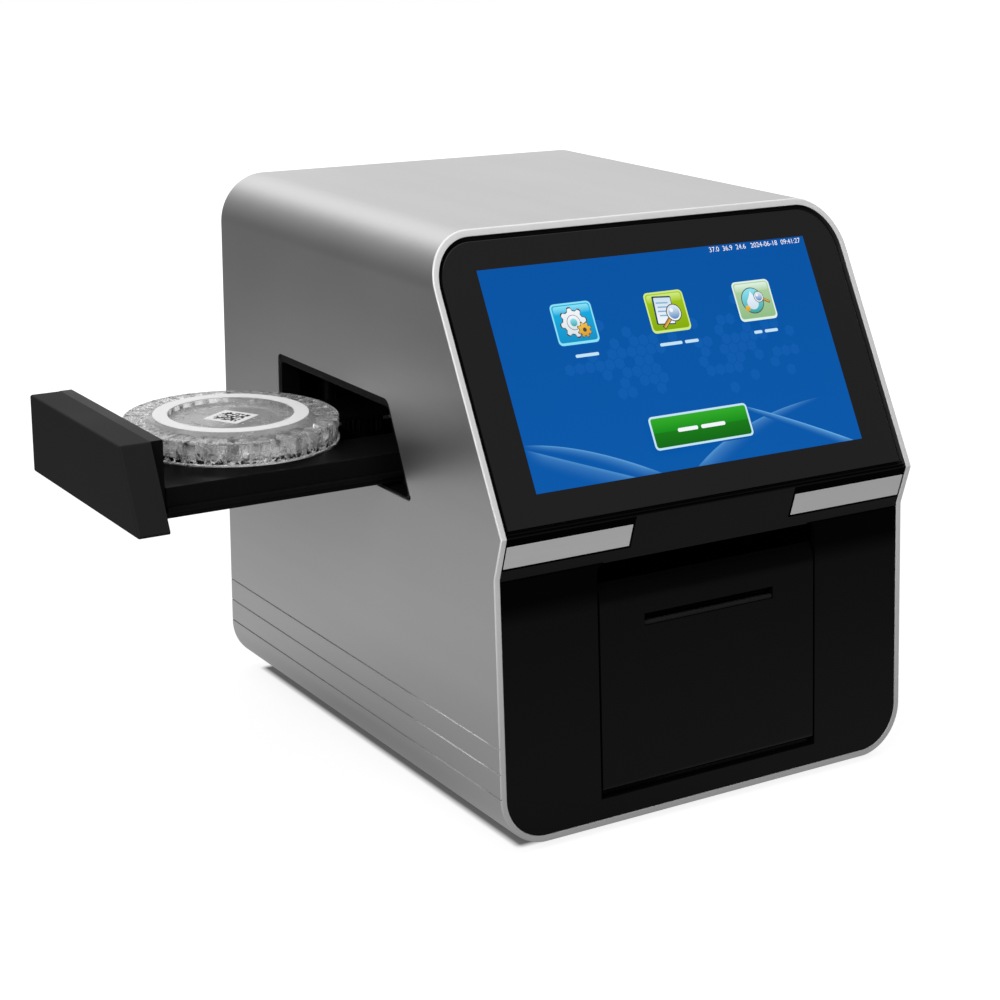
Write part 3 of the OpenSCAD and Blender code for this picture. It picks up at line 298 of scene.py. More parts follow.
def clearPlastic():
    # the cells turn with the disc, because they are reckoned from its own middle
    s = newShader("clearPlastic")
    spot = s.places(shift=[-c for c in clear["middle"]])
    across, back, up = (s.axis(name, spot) for name in "XYZ")
    flow, spark, pip = s.noise(300, 2), s.noise(620, 2), s.ramp(s.noise(900, 1), *clear["pips"])
    turn = s.maths("ARCTAN2", back, across) * (clear["cells"] / math.tau) + clear["cells"]
    cell = s.maths("ABSOLUTE", s.maths("FRACT", turn + (flow - 0.5) * clear["drift"]) - 0.5)
    # painted shade: dark specks in a band near the foot and dark lines between the cuvettes, standing for the
    # dark seen through the clear plastic
    foot = s.ramp(up, *clear["footTop"]) * s.ramp(up, *clear["footLow"]) * s.ramp(spark, *clear["footSpark"])
    gap = s.ramp(cell, *clear["gapWide"]) * s.ramp(flow, *clear["gapFlow"]) * s.ramp(up, *clear["gapUp"])
    # painted highlights: mirror-like glints on the wall at each cuvette, along the lip at the foot and at the
    # top rim
    bead = s.ramp(cell, *clear["beadWide"]) * s.ramp(up, *clear["beadLow"]) * s.ramp(up, *clear["beadTop"])
    lip = s.ramp(up, *clear["lipUp"]) * s.ramp(spark, *clear["lipSpark"])
    rim = s.ramp(up, *clear["rimUp"]) * s.ramp(spark, *clear["rimSpark"])
    paintedGlint = s.ramp(bead + lip + rim, 0, 1)
    return s.close(Base_Color=s.blend(s.ramp(foot + gap, 0, 1), grey(0.99), grey(0.0)), Metallic=paintedGlint,
                   Roughness=s.ramp(flow, 0.3, 0.7, 0.01, 0.06) + paintedGlint * 0.3, IOR=1.49,
                   Transmission_Weight=0.9, Normal=s.bump(flow * 0.35 + pip * 0.7, 0.0002))


def paper(name, level):
    s = newShader(name)
    fibre = s.noise(1200, 4)
    return s.close(Base_Color=s.blend(fibre, grey(level * 0.94), grey(level)), Roughness=0.55,
                   Specular_IOR_Level=0.3, Normal=s.bump(fibre, 0.00001))


def circuitBoard():
    s = newShader("circuitGreen")
    tracks = s.node("TexBrick", {}, {"Vector": s.places(), "Scale": 90, "Mortar Size": 0.03,
                                     "Color1": grey(0), "Color2": grey(0), "Mortar": grey(1)}, "Fac")
    cloud = s.noise(60, 2)
    board = s.blend(cloud, (0.012, 0.12, 0.04, 1), (0.02, 0.17, 0.06, 1))
    return s.close(Base_Color=s.blend(tracks, board, (0.05, 0.30, 0.12, 1)),
                   Roughness=s.ramp(cloud, 0.3, 0.7, 0.3, 0.45))


# Finishes by the record's slots, and those that only pieces of this script have
finishes = {
    "satin_aluminium": satinAluminium(),
    "strip_aluminium": stripAluminium(),
    "black_gloss": blackMoulding("blackGloss", 0.0022, 0.2, 0.32, 0.1),
    "screen_glass": glassBlack(),
    "lcd_panel": plainPlastic("lcdPanel", (0.02, 0.02, 0.025, 1), 0.3),
    "black_plastic": blackMoulding("blackPlastic", 0.0165, 0.5, 0.62, 0.04),
    "tray_grey": blackMoulding("trayGrey", 0.004, 0.3, 0.45, 0.06),
    "zinc_sheet": sheetMetal("zincSheet", (0.55, 0.57, 0.60, 1), 0.38, 0.6),
    "bright_steel": sheetMetal("brightSteel", grey(0.62), 0.25),
    "motor_steel": sheetMetal("motorSteel", grey(0.36), 0.38),
    "gear_brass": sheetMetal("gearBrass", (0.16, 0.12, 0.07, 1), 0.45),
    "gear_nylon": plainPlastic("gearNylon", (0.8, 0.78, 0.7, 1), 0.45),
    "soft_rubber": plainPlastic("softRubber", (0.02, 0.02, 0.02, 1), 0.75, 0.25),
    "clear_plastic": clearPlastic(),
    "label_paper": paper("labelPaper", 0.86),
    "circuit_green": circuitBoard(),
}
special = {
    "cutEdge": cutAluminium(),
    "grooveEdge": grooveAluminium(),
    "frosted": frostedPlastic(),
    # steel painted dark as shade, for the parts seen through the slot
    "darkSteel": sheetMetal("steelInPaintedShade", grey(0.03), 0.5),
    "deepBlack": blackMoulding("deepBlack", 0.003, 0.34, 0.46, 0.11),
    # a matt black for the painted shade round the chin strips
    "paintedShadeBlack": blackMoulding("paintedShadeBlack", 0.0012, 0.75, 0.85, 0.01),
    "frontBlack": frontBlack(0.088, 0.096),
}
# painted shade: the parts seen through the slot get the dark steel
darkened = ("heater_posts", "guide_front", "guide_rear", "drive_pinion")  # seen through the slot
slots = {part["node"]: part["material_slot"] for part in frame["record"]["subparts"]}
bodyOf = {node: body for body, nodes in frame["record"]["behaviour"]["bodies"].items() for node in nodes}
for node, thing in frame["nodes"].items():
    for place in thing.material_slots:
        place.material = special["darkSteel"] if node in darkened else finishes[slots[node]]
print("finishes made:", len(finishes) + len(special))


# Modelling helpers
def roundOutline(bm, width, height, corner, steps):
    made = bmesh.ops.create_grid(bm, x_segments=1, y_segments=1, size=0.5)["verts"]
    bmesh.ops.scale(bm, vec=(width, height, 1), verts=made)
    bmesh.ops.bevel(bm, geom=made, offset=corner, segments=steps, profile=0.5, affect="VERTICES", material=-1)


def block(bm, low, high):
    made = bmesh.ops.create_cube(bm, size=1)["verts"]
    bmesh.ops.scale(bm, vec=[b - a for a, b in zip(low, high)], verts=made)
    bmesh.ops.translate(bm, vec=[(a + b) / 2 for a, b in zip(low, high)], verts=made)
    return made


def extrude(bm, way):
    grown = bmesh.ops.extrude_face_region(bm, geom=bm.faces[:])["geom"]
    bmesh.ops.translate(bm, vec=way, verts=[g for g in grown if isinstance(g, bmesh.types.BMVert)])


def bisect(bm, place, outward, clear=True):
    # splits the faces at a plane and, if clear, takes away what lies outward of it
    return bmesh.ops.bisect_plane(bm, geom=bm.verts[:] + bm.edges[:] + bm.faces[:], plane_co=place,
                                  plane_no=outward, clear_outer=clear)["geom_cut"]


def bevelEdges(bm, edges, width, steps=2, material=-1):
    bmesh.ops.bevel(bm, geom=edges, offset=width, segments=steps, profile=0.5, affect="EDGES",
                    clamp_overlap=True, material=material)


def faceOutward(bm):
    bmesh.ops.recalc_face_normals(bm, faces=bm.faces[:])


def openEdges(bm):
    return sum(not e.is_manifold for e in bm.edges)


def asMesh(bm, name, place):
    bmesh.ops.transform(bm, matrix=place, verts=bm.verts)
    mesh = bpy.data.meshes.new(name)
    bm.to_mesh(mesh)
    bm.free()
    return mesh


def welded(mesh, distance):
    bm = bmesh.new()
    bm.from_mesh(mesh)
    bmesh.ops.remove_doubles(bm, verts=bm.verts[:], dist=distance)
    return bm


def evaluated(thing):
    bpy.context.view_layer.update()
    return bpy.data.meshes.new_from_object(thing.evaluated_get(bpy.context.evaluated_depsgraph_get()))


def cutAway(mesh, cutter):
    # takes the cutter's solids out of the mesh
    kept, away = inScene("kept", mesh), inScene("away", cutter)
    step = kept.modifiers.new("cut", "BOOLEAN")
    step.operation, step.solver, step.object = "DIFFERENCE", "EXACT", away
    cut = evaluated(kept)
    bpy.data.objects.remove(kept)
    bpy.data.objects.remove(away)
    return cut


def addPiece(name, mesh, materials, body, replaced=(), sharp=35, weighted=True):
    mesh.name = name
    for material in materials:
        mesh.materials.append(material)
    mesh.shade_smooth()
    mesh.set_sharp_from_angle(angle=math.radians(sharp))
    piece = inScene(name, mesh)
    if weighted:
        normals = piece.modifiers.new("flatFaces", "WEIGHTED_NORMAL")
        normals.keep_sharp = True
    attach(piece, body)
    if replaced:
        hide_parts(*replaced)


# How a CAD node's shape is dressed: "weld" in metres, "flat" and "sharp" in degrees, and what counts
# as one of the corners along x that can be rounded
dress = {"weld": 2e-6, "flat": 0.6, "sharp": 30, "cornerSteps": 5, "cornerTurn": 0.9, "cornerAlong": 0.9}


def dressNode(node, name, width, material=None, steps=2, edgeMaterial=None, keep=None, cutter=None,
              corners=0):
    # the node's own shape with its edges broken, but for those between two kept values of x
    bm = welded(frame["nodes"][node].data, dress["weld"])
    bmesh.ops.dissolve_limit(bm, angle_limit=math.radians(dress["flat"]), verts=bm.verts, edges=bm.edges,
                             delimit={"NORMAL"})
    if cutter:
        bm = welded(cutAway(asMesh(bm, name, Matrix()), cutter), dress["weld"])
        print(name + ":", len(bm.faces), "faces,", openEdges(bm), "open edges")
    if corners:
        along = [e for e in bm.edges if e.is_manifold and e.calc_face_angle(0) > dress["cornerTurn"]
                 and abs(e.verts[0].co.x - e.verts[1].co.x) > dress["cornerAlong"] * e.calc_length()]
        bevelEdges(bm, along, corners * mm, dress["cornerSteps"])
    sharp = math.radians(dress["sharp"])
    edges = [e for e in bm.edges if e.is_manifold and abs(e.calc_face_angle_signed(0)) > sharp
             and not (keep and all(keep[0] < v.co.x < keep[1] for v in e.verts))]
    bevelEdges(bm, edges, width * mm, steps, 1 if edgeMaterial else -1)
    materials = [material or finishes[slots[node]]] + ([edgeMaterial] if edgeMaterial else [])
    addPiece(name, asMesh(bm, name, Matrix()), materials, bodyOf[node], [node])


# Sleeve: a rounded tube whose front follows the profile, with the drawer's slot and the side grooves
def frontDepth(height):
    bends = list(zip(sleeve["front"], sleeve["front"][1:]))
    low, high = next((pair for pair in bends if height <= pair[1][1]), bends[-1])
    return low[0] + (high[0] - low[0]) * (height - low[1]) / (high[1] - low[1])


def isOutside(point):
    # on the tube's outer skin
    half, corner, skin = sleeve["width"] / 2, sleeve["corner"], sleeve["skin"]
    x, y = abs(point.x), abs(point.y - sleeve["height"] / 2)
    core = Vector((max(x - (half - corner), 0), max(y - (sleeve["height"] / 2 - corner), 0)))
    if core.x > 0 and core.y > 0:
        return core.length > corner - skin
    return x > half - skin or y > sleeve["height"] / 2 - skin


def isAtSlot(point):
    # on the outer skin at the slot's edge
    return (abs(point.x + sleeve["width"] / 2) < sleeve["near"]
            and sleeve["slotLow"] - over < point.y < sleeve["slotHigh"] + over
            and -sleeve["slotRear"] - over < point.z < over - sleeve["slotFront"])


def rimOf(faces):
    # the outer and the inner edges round an end of the tube
    inside = set(faces)
    rim = {e for f in faces for e in f.edges if not all(g in inside for g in e.link_faces)}
    outer = [e for e in rim if all(isOutside(v.co) for v in e.verts)]
    return outer, [e for e in rim if e not in outer]


def slotCutter():
    bm = bmesh.new()
    half, low, high = sleeve["width"] / 2, sleeve["slotLow"], sleeve["slotHigh"]
    corners = ((sleeve["slotFront"], low), (sleeve["slotRear"], low), (sleeve["slotRear"], high),
               (sleeve["slotFront"] + sleeve["slotLean"] * (high - low), high))
    face = bm.faces.new([bm.verts.new((-half - over, up, -back)) for back, up in corners])
    bmesh.ops.bevel(bm, geom=face.verts[:], offset=sleeve["slotCorner"], segments=sleeve["slotSteps"],
                    profile=0.5, affect="VERTICES", material=-1)
    extrude(bm, (sleeve["wall"] + 2 * over, 0, 0))
    rise = sleeve["grooveHeight"] / 2
    for side in (-1, 1):
        ends = sorted((side * (half - sleeve["grooveDepth"]), side * (half + over)))
        for i in range(sleeve["grooves"]):
            middle = sleeve["grooveZ"] + i * sleeve["grooveStep"]
            start, end = (ends[0], middle - rise, -sleeve["depth"] - over), (ends[1], middle + rise, over)
            for v in block(bm, start, end):
                if abs(v.co.x) > half and v.co.y < middle:
                    v.co.y -= (over + sleeve["grooveDepth"]) * sleeve["grooveSlope"]
    faceOutward(bm)
    return asMesh(bm, "slotCutter", Matrix())


def makeSleeve():
    bm = bmesh.new()
    roundOutline(bm, sleeve["width"], sleeve["height"], sleeve["corner"], sleeve["cornerSteps"])
    bmesh.ops.translate(bm, vec=(0, sleeve["height"] / 2, 0), verts=bm.verts[:])
    for _, up in sleeve["front"][1:-1]:
        bisect(bm, (0, up, 0), (0, 1, 0), clear=False)
    inner = bm.faces[:]
    bmesh.ops.inset_region(bm, faces=inner, thickness=sleeve["wall"], use_even_offset=True, use_boundary=True)
    bmesh.ops.delete(bm, geom=inner, context="FACES")
    extrude(bm, (0, 0, -sleeve["depth"]))
    for v in bm.verts:
        if v.co.z > -over:
            v.co.z = -frontDepth(v.co.y)
    faceOutward(bm)
    fronts = [f for f in bm.faces if f.normal.z > sleeve["frontFacing"]]
    rears = [f for f in bm.faces if f.normal.z < sleeve["rearFacing"]]
    for f in fronts:
        f.material_index = 1
    outer, rest = rimOf(fronts)
    bevelEdges(bm, outer, sleeve["rimBevel"], 3, 1)
    bevelEdges(bm, [e for e in rest if e.is_valid], sleeve["innerBevel"], 2, 1)
    outer, rest = rimOf(rears)
    bevelEdges(bm, outer + rest, sleeve["rearBevel"])
    bm = welded(cutAway(asMesh(bm, "sleeve", Matrix()), slotCutter()), sleeve["weld"])
    slotEdges = [e for e in bm.edges if e.is_manifold and e.calc_face_angle(0) > 1
                 and all(isAtSlot(v.co) for v in e.verts)]
    bevelEdges(bm, slotEdges, sleeve["slotBevel"], 2, 0)
    half, top = sleeve["width"] / 2, sleeve["grooveZ"] + sleeve["grooves"] * sleeve["grooveStep"]
    level, steep = sleeve["grooveFacing"]
    for f in bm.faces:
        middle = f.calc_center_median()
        atSide = abs(abs(middle.x) - half) < sleeve["grooveDepth"]
        if atSide and middle.y < top and level < f.normal.y < steep:
            f.material_index = 2
    print("sleeve:", len(bm.verts), "points,", len(slotEdges), "slot edges,", openEdges(bm), "open edges")
    addPiece("sleeve", asMesh(bm, "sleeve", uprightPlace),
             [finishes["satin_aluminium"], special["cutEdge"], special["grooveEdge"]], "housing",
             ["sleeve_shell"])


makeSleeve()

# Front glass: the sleeve's inside outline, cut to a slab on the slope
glass = {"recess": 1.0, "thickness": 1.8, "start": 3.0, "gap": 1.8, "bevel": 0.3, "sharp": 0.6,
         "cornerSteps": 20, "ahead": 20, "length": 160}


def makeGlass():
    bm = bmesh.new()
    inset = sleeve["wall"] + glass["gap"]
    roundOutline(bm, sleeve["width"] - 2 * inset, sleeve["height"] - 2 * inset, sleeve["corner"] - inset,
                 glass["cornerSteps"])
    bmesh.ops.translate(bm, vec=(0, sleeve["height"] / 2, glass["ahead"]), verts=bm.verts[:])
    extrude(bm, (0, 0, -glass["length"]))
    faceOutward(bm)
    bmesh.ops.transform(bm, matrix=slopePlace.inverted() @ uprightPlace, verts=bm.verts[:])
    face, back = -glass["recess"], -glass["recess"] - glass["thickness"]
    for place, outward in (((0, 0, face), (0, 0, 1)), ((0, 0, back), (0, 0, -1)),
                           ((0, glass["start"], 0), (0, -1, 0))):
        cut = bisect(bm, place, outward)
        bmesh.ops.contextual_create(bm, geom=[g for g in cut if isinstance(g, bmesh.types.BMEdge)])
    faceOutward(bm)
    bevelEdges(bm, [e for e in bm.edges if e.calc_face_angle(0) > glass["sharp"]], glass["bevel"])
    print("frontGlass:", len(bm.verts), "points")
    addPiece("frontGlass", asMesh(bm, "frontGlass", slopePlace), [finishes["screen_glass"]], "housing",
             ["touch_glass"])


makeGlass()

# The lit display, painted on thin layers behind the glass: v runs up the slope from its lower edge
display = {"left": -77.1, "right": 77.1, "low": 14.65, "high": 100.5, "lift": -0.97, "layer": 0.03,
           "tiles": (-41.4, 1.2, 43.4), "tileV": 76.1, "tileWide": 18.4, "tileHigh": 16.4, "tileCorner": 1.9,
           "captions": ((10.5,), (10.5, 6.5), (4.0, 6.5)), "captionV": 63.1, "captionTall": 1.25,
           "buttonU": 1.4, "buttonV": 29.4, "buttonWide": 46.6, "buttonHigh": 13.2, "buttonEdge": 1.7,
           "header": ("37.0  36.9  24.6", "2024-06-18", "09:41:27"), "headerU": (28.0, 48.6, 63.8),
           "headerV": 97.4, "headerSize": 2.9}
comb = {"seed": 7, "rows": 16, "columns": 34, "cell": 2.5, "stepU": 1.8, "stepV": 1.56, "share": 0.96,
        "startU": 26, "startV": 39, "margin": 4, "bare": 0.25,
        "fields": ((-22, 58, 34, 17), (34, 60, 30, 20))}
# Each veil: where it starts, bends and ends, its depth at both ends, its shine and that of its edge
veils = (((-77.1, 33), (-52, 31), (-18, 13), (2, 7), 0.62, 0.35),
         ((-77.1, 31.5), (-58, 24), (-26, 12), (6, 9), 0.42, 0.2),
         ((-8, 12), (18, 31), (62, 34), (12, 1.0), 0.5, 0.2),
         ((22, 36), (47, 27), (77.1, 12.5), (1.6, 5), 0.85, 0.6))
shapes = {"spotSides": 32, "cogTeeth": 8, "toothSteps": 6, "toothTop": 1, "toothShoulder": 0.9,
          "dropSides": 40, "dropRise": 0.8, "dropPinch": 0.55, "dropPinchFrom": 0.4, "veilSteps": (40, 6),
          "veilFade": 6, "veilEdge": 0.9}
tints = {"deep": "0054A6", "low": "0359AC", "cloud": "0B5DB0", "veil": "62A8E0", "white": "F6FAFF",
         "sky": "19B2E6", "skyDark": "1093CB", "skyEdge": "8FE6F7", "lime": "A9CB1C", "limeDark": "86AE06",
         "limeEdge": "D3EE86", "mint": "B5D6A9", "mintDark": "93C089", "mintEdge": "E3F6EA",
         "outline": "51463F", "gearGrey": "DCE6EA", "teal": "3CA7A4", "gold": "F3C651", "goldDark": "D99B2C",
         "ink": "17375A", "sheet": "CFE3F3", "line": "86AFD2", "lens": "4F87BE", "lensTop": "DDEEFA",
         "handle": "C2772C", "leaf": "0F6A14", "leafLow": "1F8A18", "leafTop": "33AE29",
         "leafMid": "15901A", "rim": "C6E8F8"}


def tint(name):
    # a written screen colour as linear light
    parts = [int(tints[name][i:i + 2], 16) / 255 for i in (0, 2, 4)]
    return Vector([c / 12.92 if c < 0.04045 else ((c + 0.055) / 1.055) ** 2.4 for c in parts] + [1])


def paint(bm, foot, head):
    layer = bm.loops.layers.float_color.new("paint")
    heights = [v.co.y for v in bm.verts]
    low, tall = min(heights), max(max(heights) - min(heights), 1e-6)
    for f in bm.faces:
        for corner in f.loops:
            corner[layer] = foot.lerp(head, (corner.vert.co.y - low) / tall)


class Picture:
    # flat layers, each a little above the last
    def __init__(self):
        self.bm = bmesh.new()
        self.bm.loops.layers.float_color.new("paint")
        self.level = display["lift"]

    def lay(self, bm, u, v, turn=0.0, foot=None, head=None, raised=True):
        if foot:
            paint(bm, tint(foot), tint(head or foot))
        self.level += display["layer"] if raised else 0
        faceOutward(bm)
        bmesh.ops.reverse_faces(bm, faces=[f for f in bm.faces if f.normal.z < 0])
        sheet = asMesh(bm, "layer", Matrix.Translation((u, v, self.level)) @ rotation(turn, "Z"))
        self.bm.from_mesh(sheet)
        bpy.data.meshes.remove(sheet)

    def card(self, width, height, corner, u, v, foot, head=None, turn=0.0, raised=True):
        bm = bmesh.new()
        roundOutline(bm, width, height, corner, 4)
        self.lay(bm, u, v, turn, foot, head, raised)

    def spot(self, radius, u, v, foot, head=None):
        bm = bmesh.new()
        bmesh.ops.create_circle(bm, cap_ends=True, radius=radius, segments=shapes["spotSides"])
        self.lay(bm, u, v, 0, foot, head)

    def cog(self, radius, tooth, u, v, foot, head=None, turn=0.0):
        bm = bmesh.new()
        steps = shapes["toothSteps"]
        sides = shapes["cogTeeth"] * steps
        rim = bmesh.ops.create_circle(bm, cap_ends=True, radius=radius, segments=sides)["verts"]
        for i, point in enumerate(rim):
            if i % steps < steps / 2:
                share = shapes["toothTop" if i % steps == 1 else "toothShoulder"]
                point.co *= 1 + tooth / radius * share
        self.lay(bm, u, v, turn, foot, head)

    def drop(self, radius, u, v, foot, head=None):
        bm = bmesh.new()
        rim = bmesh.ops.create_circle(bm, cap_ends=True, radius=radius, segments=shapes["dropSides"])["verts"]
        for point in rim:
            if point.co.y > 0:
                point.co.y += radius * shapes["dropRise"] * (point.co.y / radius) ** 3
                pinch = max(point.co.y / radius - shapes["dropPinchFrom"], 0)
                point.co.x *= 1 - shapes["dropPinch"] * pinch
        self.lay(bm, u, v, 0, foot, head)

    def veil(self, start, bend, end, depths, shine, edge):
        # a curved sheet of light: its upper edge is bright and it fades below and at both ends
        bm = bmesh.new()
        layer = bm.loops.layers.float_color.new("paint")
        steps, fade = shapes["veilSteps"], shapes["veilFade"]
        bmesh.ops.create_grid(bm, x_segments=steps[0], y_segments=steps[1], size=0.5)
        where = {}
        start, bend, end = Vector(start), Vector(bend), Vector(end)
        for v in bm.verts:
            t, side = v.co.x + 0.5, v.co.y + 0.5
            spine = start * (1 - t) ** 2 + bend * 2 * t * (1 - t) + end * t ** 2
            where[v] = (t, side)
            v.co = (spine.x, spine.y - (1 - side) * (depths[0] + (depths[1] - depths[0]) * t), 0)
        for f in bm.faces:
            for corner in f.loops:
                t, side = where[corner.vert]
                glow = shine * side ** 2 + (edge if side > shapes["veilEdge"] else 0)
                glow *= min(1, fade * t, fade * (1 - t))
                corner[layer] = tint("low").lerp(tint("veil"), glow)
        for place, outward in (((0, display["low"], 0), (0, -1, 0)), ((display["right"], 0, 0), (1, 0, 0)),
                               ((display["left"], 0, 0), (-1, 0, 0))):
            bisect(bm, place, outward)
        self.lay(bm, 0, 0)

    def caption(self, u, v, lengths, tall, shade="rim"):
        # blank bars in place of words
        left = u - (sum(lengths) + (len(lengths) - 1) * tall) / 2
        for length in lengths:
            self.card(length, tall, tall * 0.45, left + length / 2, v, shade, raised=False)
            left += length + tall

    def digits(self, words, left, v, size):
        text = bpy.data.curves.new("digits", "FONT")
        text.body, text.size = words, size
        holder = inScene("digits", text)
        flat = evaluated(holder)
        bm = bmesh.new()
        bm.from_mesh(flat)
        bpy.data.objects.remove(holder)
        bpy.data.meshes.remove(flat)
        self.lay(bm, left, v, 0, "white")

    def magnifier(self, radius, u, v, turn):
        # its sizes are shares of the lens's radius
        away = Vector((math.cos(math.radians(turn)), math.sin(math.radians(turn))))
        grip = Vector((u, v)) + away * radius * 1.75
        self.card(radius * 1.75, radius * 0.55, 0.2, *grip, "outline", turn=turn)
        self.card(radius * 1.55, radius * 0.34, 0.1, *grip, "handle", "gold", turn=turn)
        for size, foot, head in ((1.12, "outline", None), (1.0, "white", "gearGrey"),
                                 (0.8, "lens", "lensTop")):
            self.spot(radius * size, u, v, foot, head)
        self.spot(radius * 0.26, u - radius * 0.3, v + radius * 0.34, "white")

    def tile(self, u, edge, foot, head):
        # a shadow, the bright edge, the face and a sheen along its top
        v, wide, high, corner = (display[key] for key in ("tileV", "tileWide", "tileHigh", "tileCorner"))
        self.card(wide + 0.5, high + 0.5, corner + 0.2, u + 0.25, v - 0.35, "low")
        self.card(wide, high, corner, u, v, edge)
        self.card(wide - 1.3, high - 1.7, corner - 0.6, u, v + 0.15, foot, head)
        self.card(wide - 2.4, high * 0.2, corner * 0.5, u, v + high * 0.33, head, edge)


def layComb(picture):
    # a faint honeycomb in two fields that thin out towards their edges
    pick = random.Random(comb["seed"])
    cell, picture.level = comb["cell"], picture.level + display["layer"]
    for row in range(comb["rows"]):
        for column in range(comb["columns"]):
            u = display["left"] + comb["startU"] + (column + 0.5 * (row % 2)) * cell * comb["stepU"]
            v = comb["startV"] + row * cell * comb["stepV"]
            spread = min(((u - fieldU) / wide) ** 2 + ((v - fieldV) / tall) ** 2
                         for fieldU, fieldV, wide, tall in comb["fields"])
            kept = pick.random() > comb["bare"] + (1 - comb["bare"]) * spread
            if kept and u < display["right"] - comb["margin"]:
                bm = bmesh.new()
                bmesh.ops.create_circle(bm, cap_ends=True, radius=cell * comb["share"], segments=6)
                picture.lay(bm, u, v, 0, "cloud", raised=False)


def makePicture():
    wide, high = display["right"] - display["left"], display["high"] - display["low"]
    picture = Picture()
    picture.card(wide, high, 0.05, 0, display["low"] + high / 2, "low", "deep")
    layComb(picture)
    for veil in veils:
        picture.veil(*veil)
    # settings tile: a large and a small gear
    u, v = display["tiles"][0], display["tileV"]
    large, small = (u - 0.4, v + 0.3), (u + 3.5, v - 3.0)
    picture.tile(u, "skyEdge", "skyDark", "sky")
    picture.cog(4.9, 1.35, *large, "outline")
    picture.cog(4.5, 1.2, *large, "gearGrey", "white")
    picture.spot(3.0, *large, "outline")
    picture.spot(2.8, *large, "gearGrey", "white")
    picture.spot(1.55, *large, "teal", "skyEdge")
    picture.cog(2.5, 0.85, *small, "outline", turn=10)
    picture.cog(2.2, 0.75, *small, "goldDark", "gold", turn=10)
    picture.spot(0.85, *small, "outline")
    # records tile: a sheet under a magnifier
    u = display["tiles"][1]
    picture.tile(u, "limeEdge", "limeDark", "lime")
    picture.card(8.8, 11.4, 0.5, u - 1.6, v + 0.6, "ink", turn=-4)
    picture.card(7.8, 10.4, 0.3, u - 1.4, v + 0.5, "white", "sheet", turn=-4)
    for i in range(4):
        picture.card(5.6 - 0.8 * (i % 2), 0.55, 0.1, u - 1.6, v + 3.6 - 1.7 * i, "line", turn=-4,
                     raised=i == 0)
    picture.magnifier(3.2, u + 2.7, v - 0.8, 222)
    # control tile: a drop under a magnifier
    u = display["tiles"][2]
    picture.tile(u, "mintEdge", "mintDark", "mint")
    picture.spot(5.4, u - 1.0, v, "outline")
    picture.spot(5.05, u - 1.0, v, "teal", "skyEdge")
    picture.drop(2.7, u - 1.2, v - 1.0, "sheet", "white")
    picture.spot(1.2, u - 4.3, v - 3.0, "goldDark", "gold")
    picture.magnifier(2.1, u + 2.2, v + 1.2, -28)
    for tile, lengths in zip(display["tiles"], display["captions"]):
        picture.level += display["layer"]
        picture.caption(tile + 1, display["captionV"], lengths, display["captionTall"])
    # start button
    u, v, wide, high = (display[key] for key in ("buttonU", "buttonV", "buttonWide", "buttonHigh"))
    picture.card(wide + 0.6, high + 0.6, 2.1, u, v - 0.3, "deep")
    picture.card(wide, high, 1.8, u, v, "rim")
    wide, high = wide - display["buttonEdge"], high - display["buttonEdge"]
    picture.card(wide, high, 1.1, u, v, "leaf", "leafLow")
    picture.card(wide, high / 2, 0.9, u, v + high / 4, "leafMid", "leafTop")
    picture.level += display["layer"]
    picture.caption(u, v, (9.5, 11.5), 1.5, "white")
    for words, left in zip(display["header"], display["headerU"]):
        picture.digits(words, left, display["headerV"], display["headerSize"])
    return picture.bm


def displayLight():
    s = newShader("displayLight")
    painted = s.node("Attribute", {"attribute_name": "paint"}, output="Color")
    glow = s.noise(9, 2) * 0.08 + 0.93
    lit = s.node("VectorMath", {"operation": "SCALE"}, {0: painted, "Scale": glow}, "Vector")
    return s.close(Base_Color=s.blend(glow, grey(0.002), grey(0.004)), Roughness=s.noise(40, 2) * 0.1 + 0.2,
                   Specular_IOR_Level=0.02, Emission_Color=lit, Emission_Strength=1.0)


addPiece("displayPicture", asMesh(makePicture(), "displayPicture", slopePlace), [displayLight()], "housing",
         weighted=False)
print("display painted")

# Black front, drawer and other moulded pieces keep their CAD shape and get broken edges
chin = {"grooveLow": 0.5, "grooveHigh": 2.5, "grooveDepth": 1.3, "ridge": 0.25, "recess": 0.4, "length": 17.0,
        "stripStart": 38.2, "stripFoot": 3.8, "border": 0.6, "borderLift": 0.05, "borderDepth": 0.5,
        "borderBevel": 0.03, "topGap": 0.3, "sideGap": 0.4, "cutAhead": 2}
door = {"slotHalf": 30.9, "slotLow": 75.4, "slotHigh": 80.2, "slotDepth": 12, "lipTop": 77.0, "lipBack": 3.0,
        "lipRecess": 0.5, "lipBevel": 0.35, "half": 51.3, "plate": 3.2, "cutHalf": 60, "cutTop": 110,
        "cutAhead": 2}
broken = {"door": 0.5, "strip": 0.45, "fascia": 0.35, "bezel": 0.3, "bezelCorner": 1.6, "block": 0.8,
          "tray": 0.3, "ring": 0.07, "seam": 0.1}


def blocks(place, *pairs):
    bm = bmesh.new()
    for low, high in pairs:
        block(bm, low, high)
    return asMesh(bm, "blocks", place)


def addBlock(name, place, low, high, bevel, material, body):
    bm = bmesh.new()
    block(bm, low, high)
    bevelEdges(bm, bm.edges[:], bevel)
    addPiece(name, asMesh(bm, name, place), [material], body)


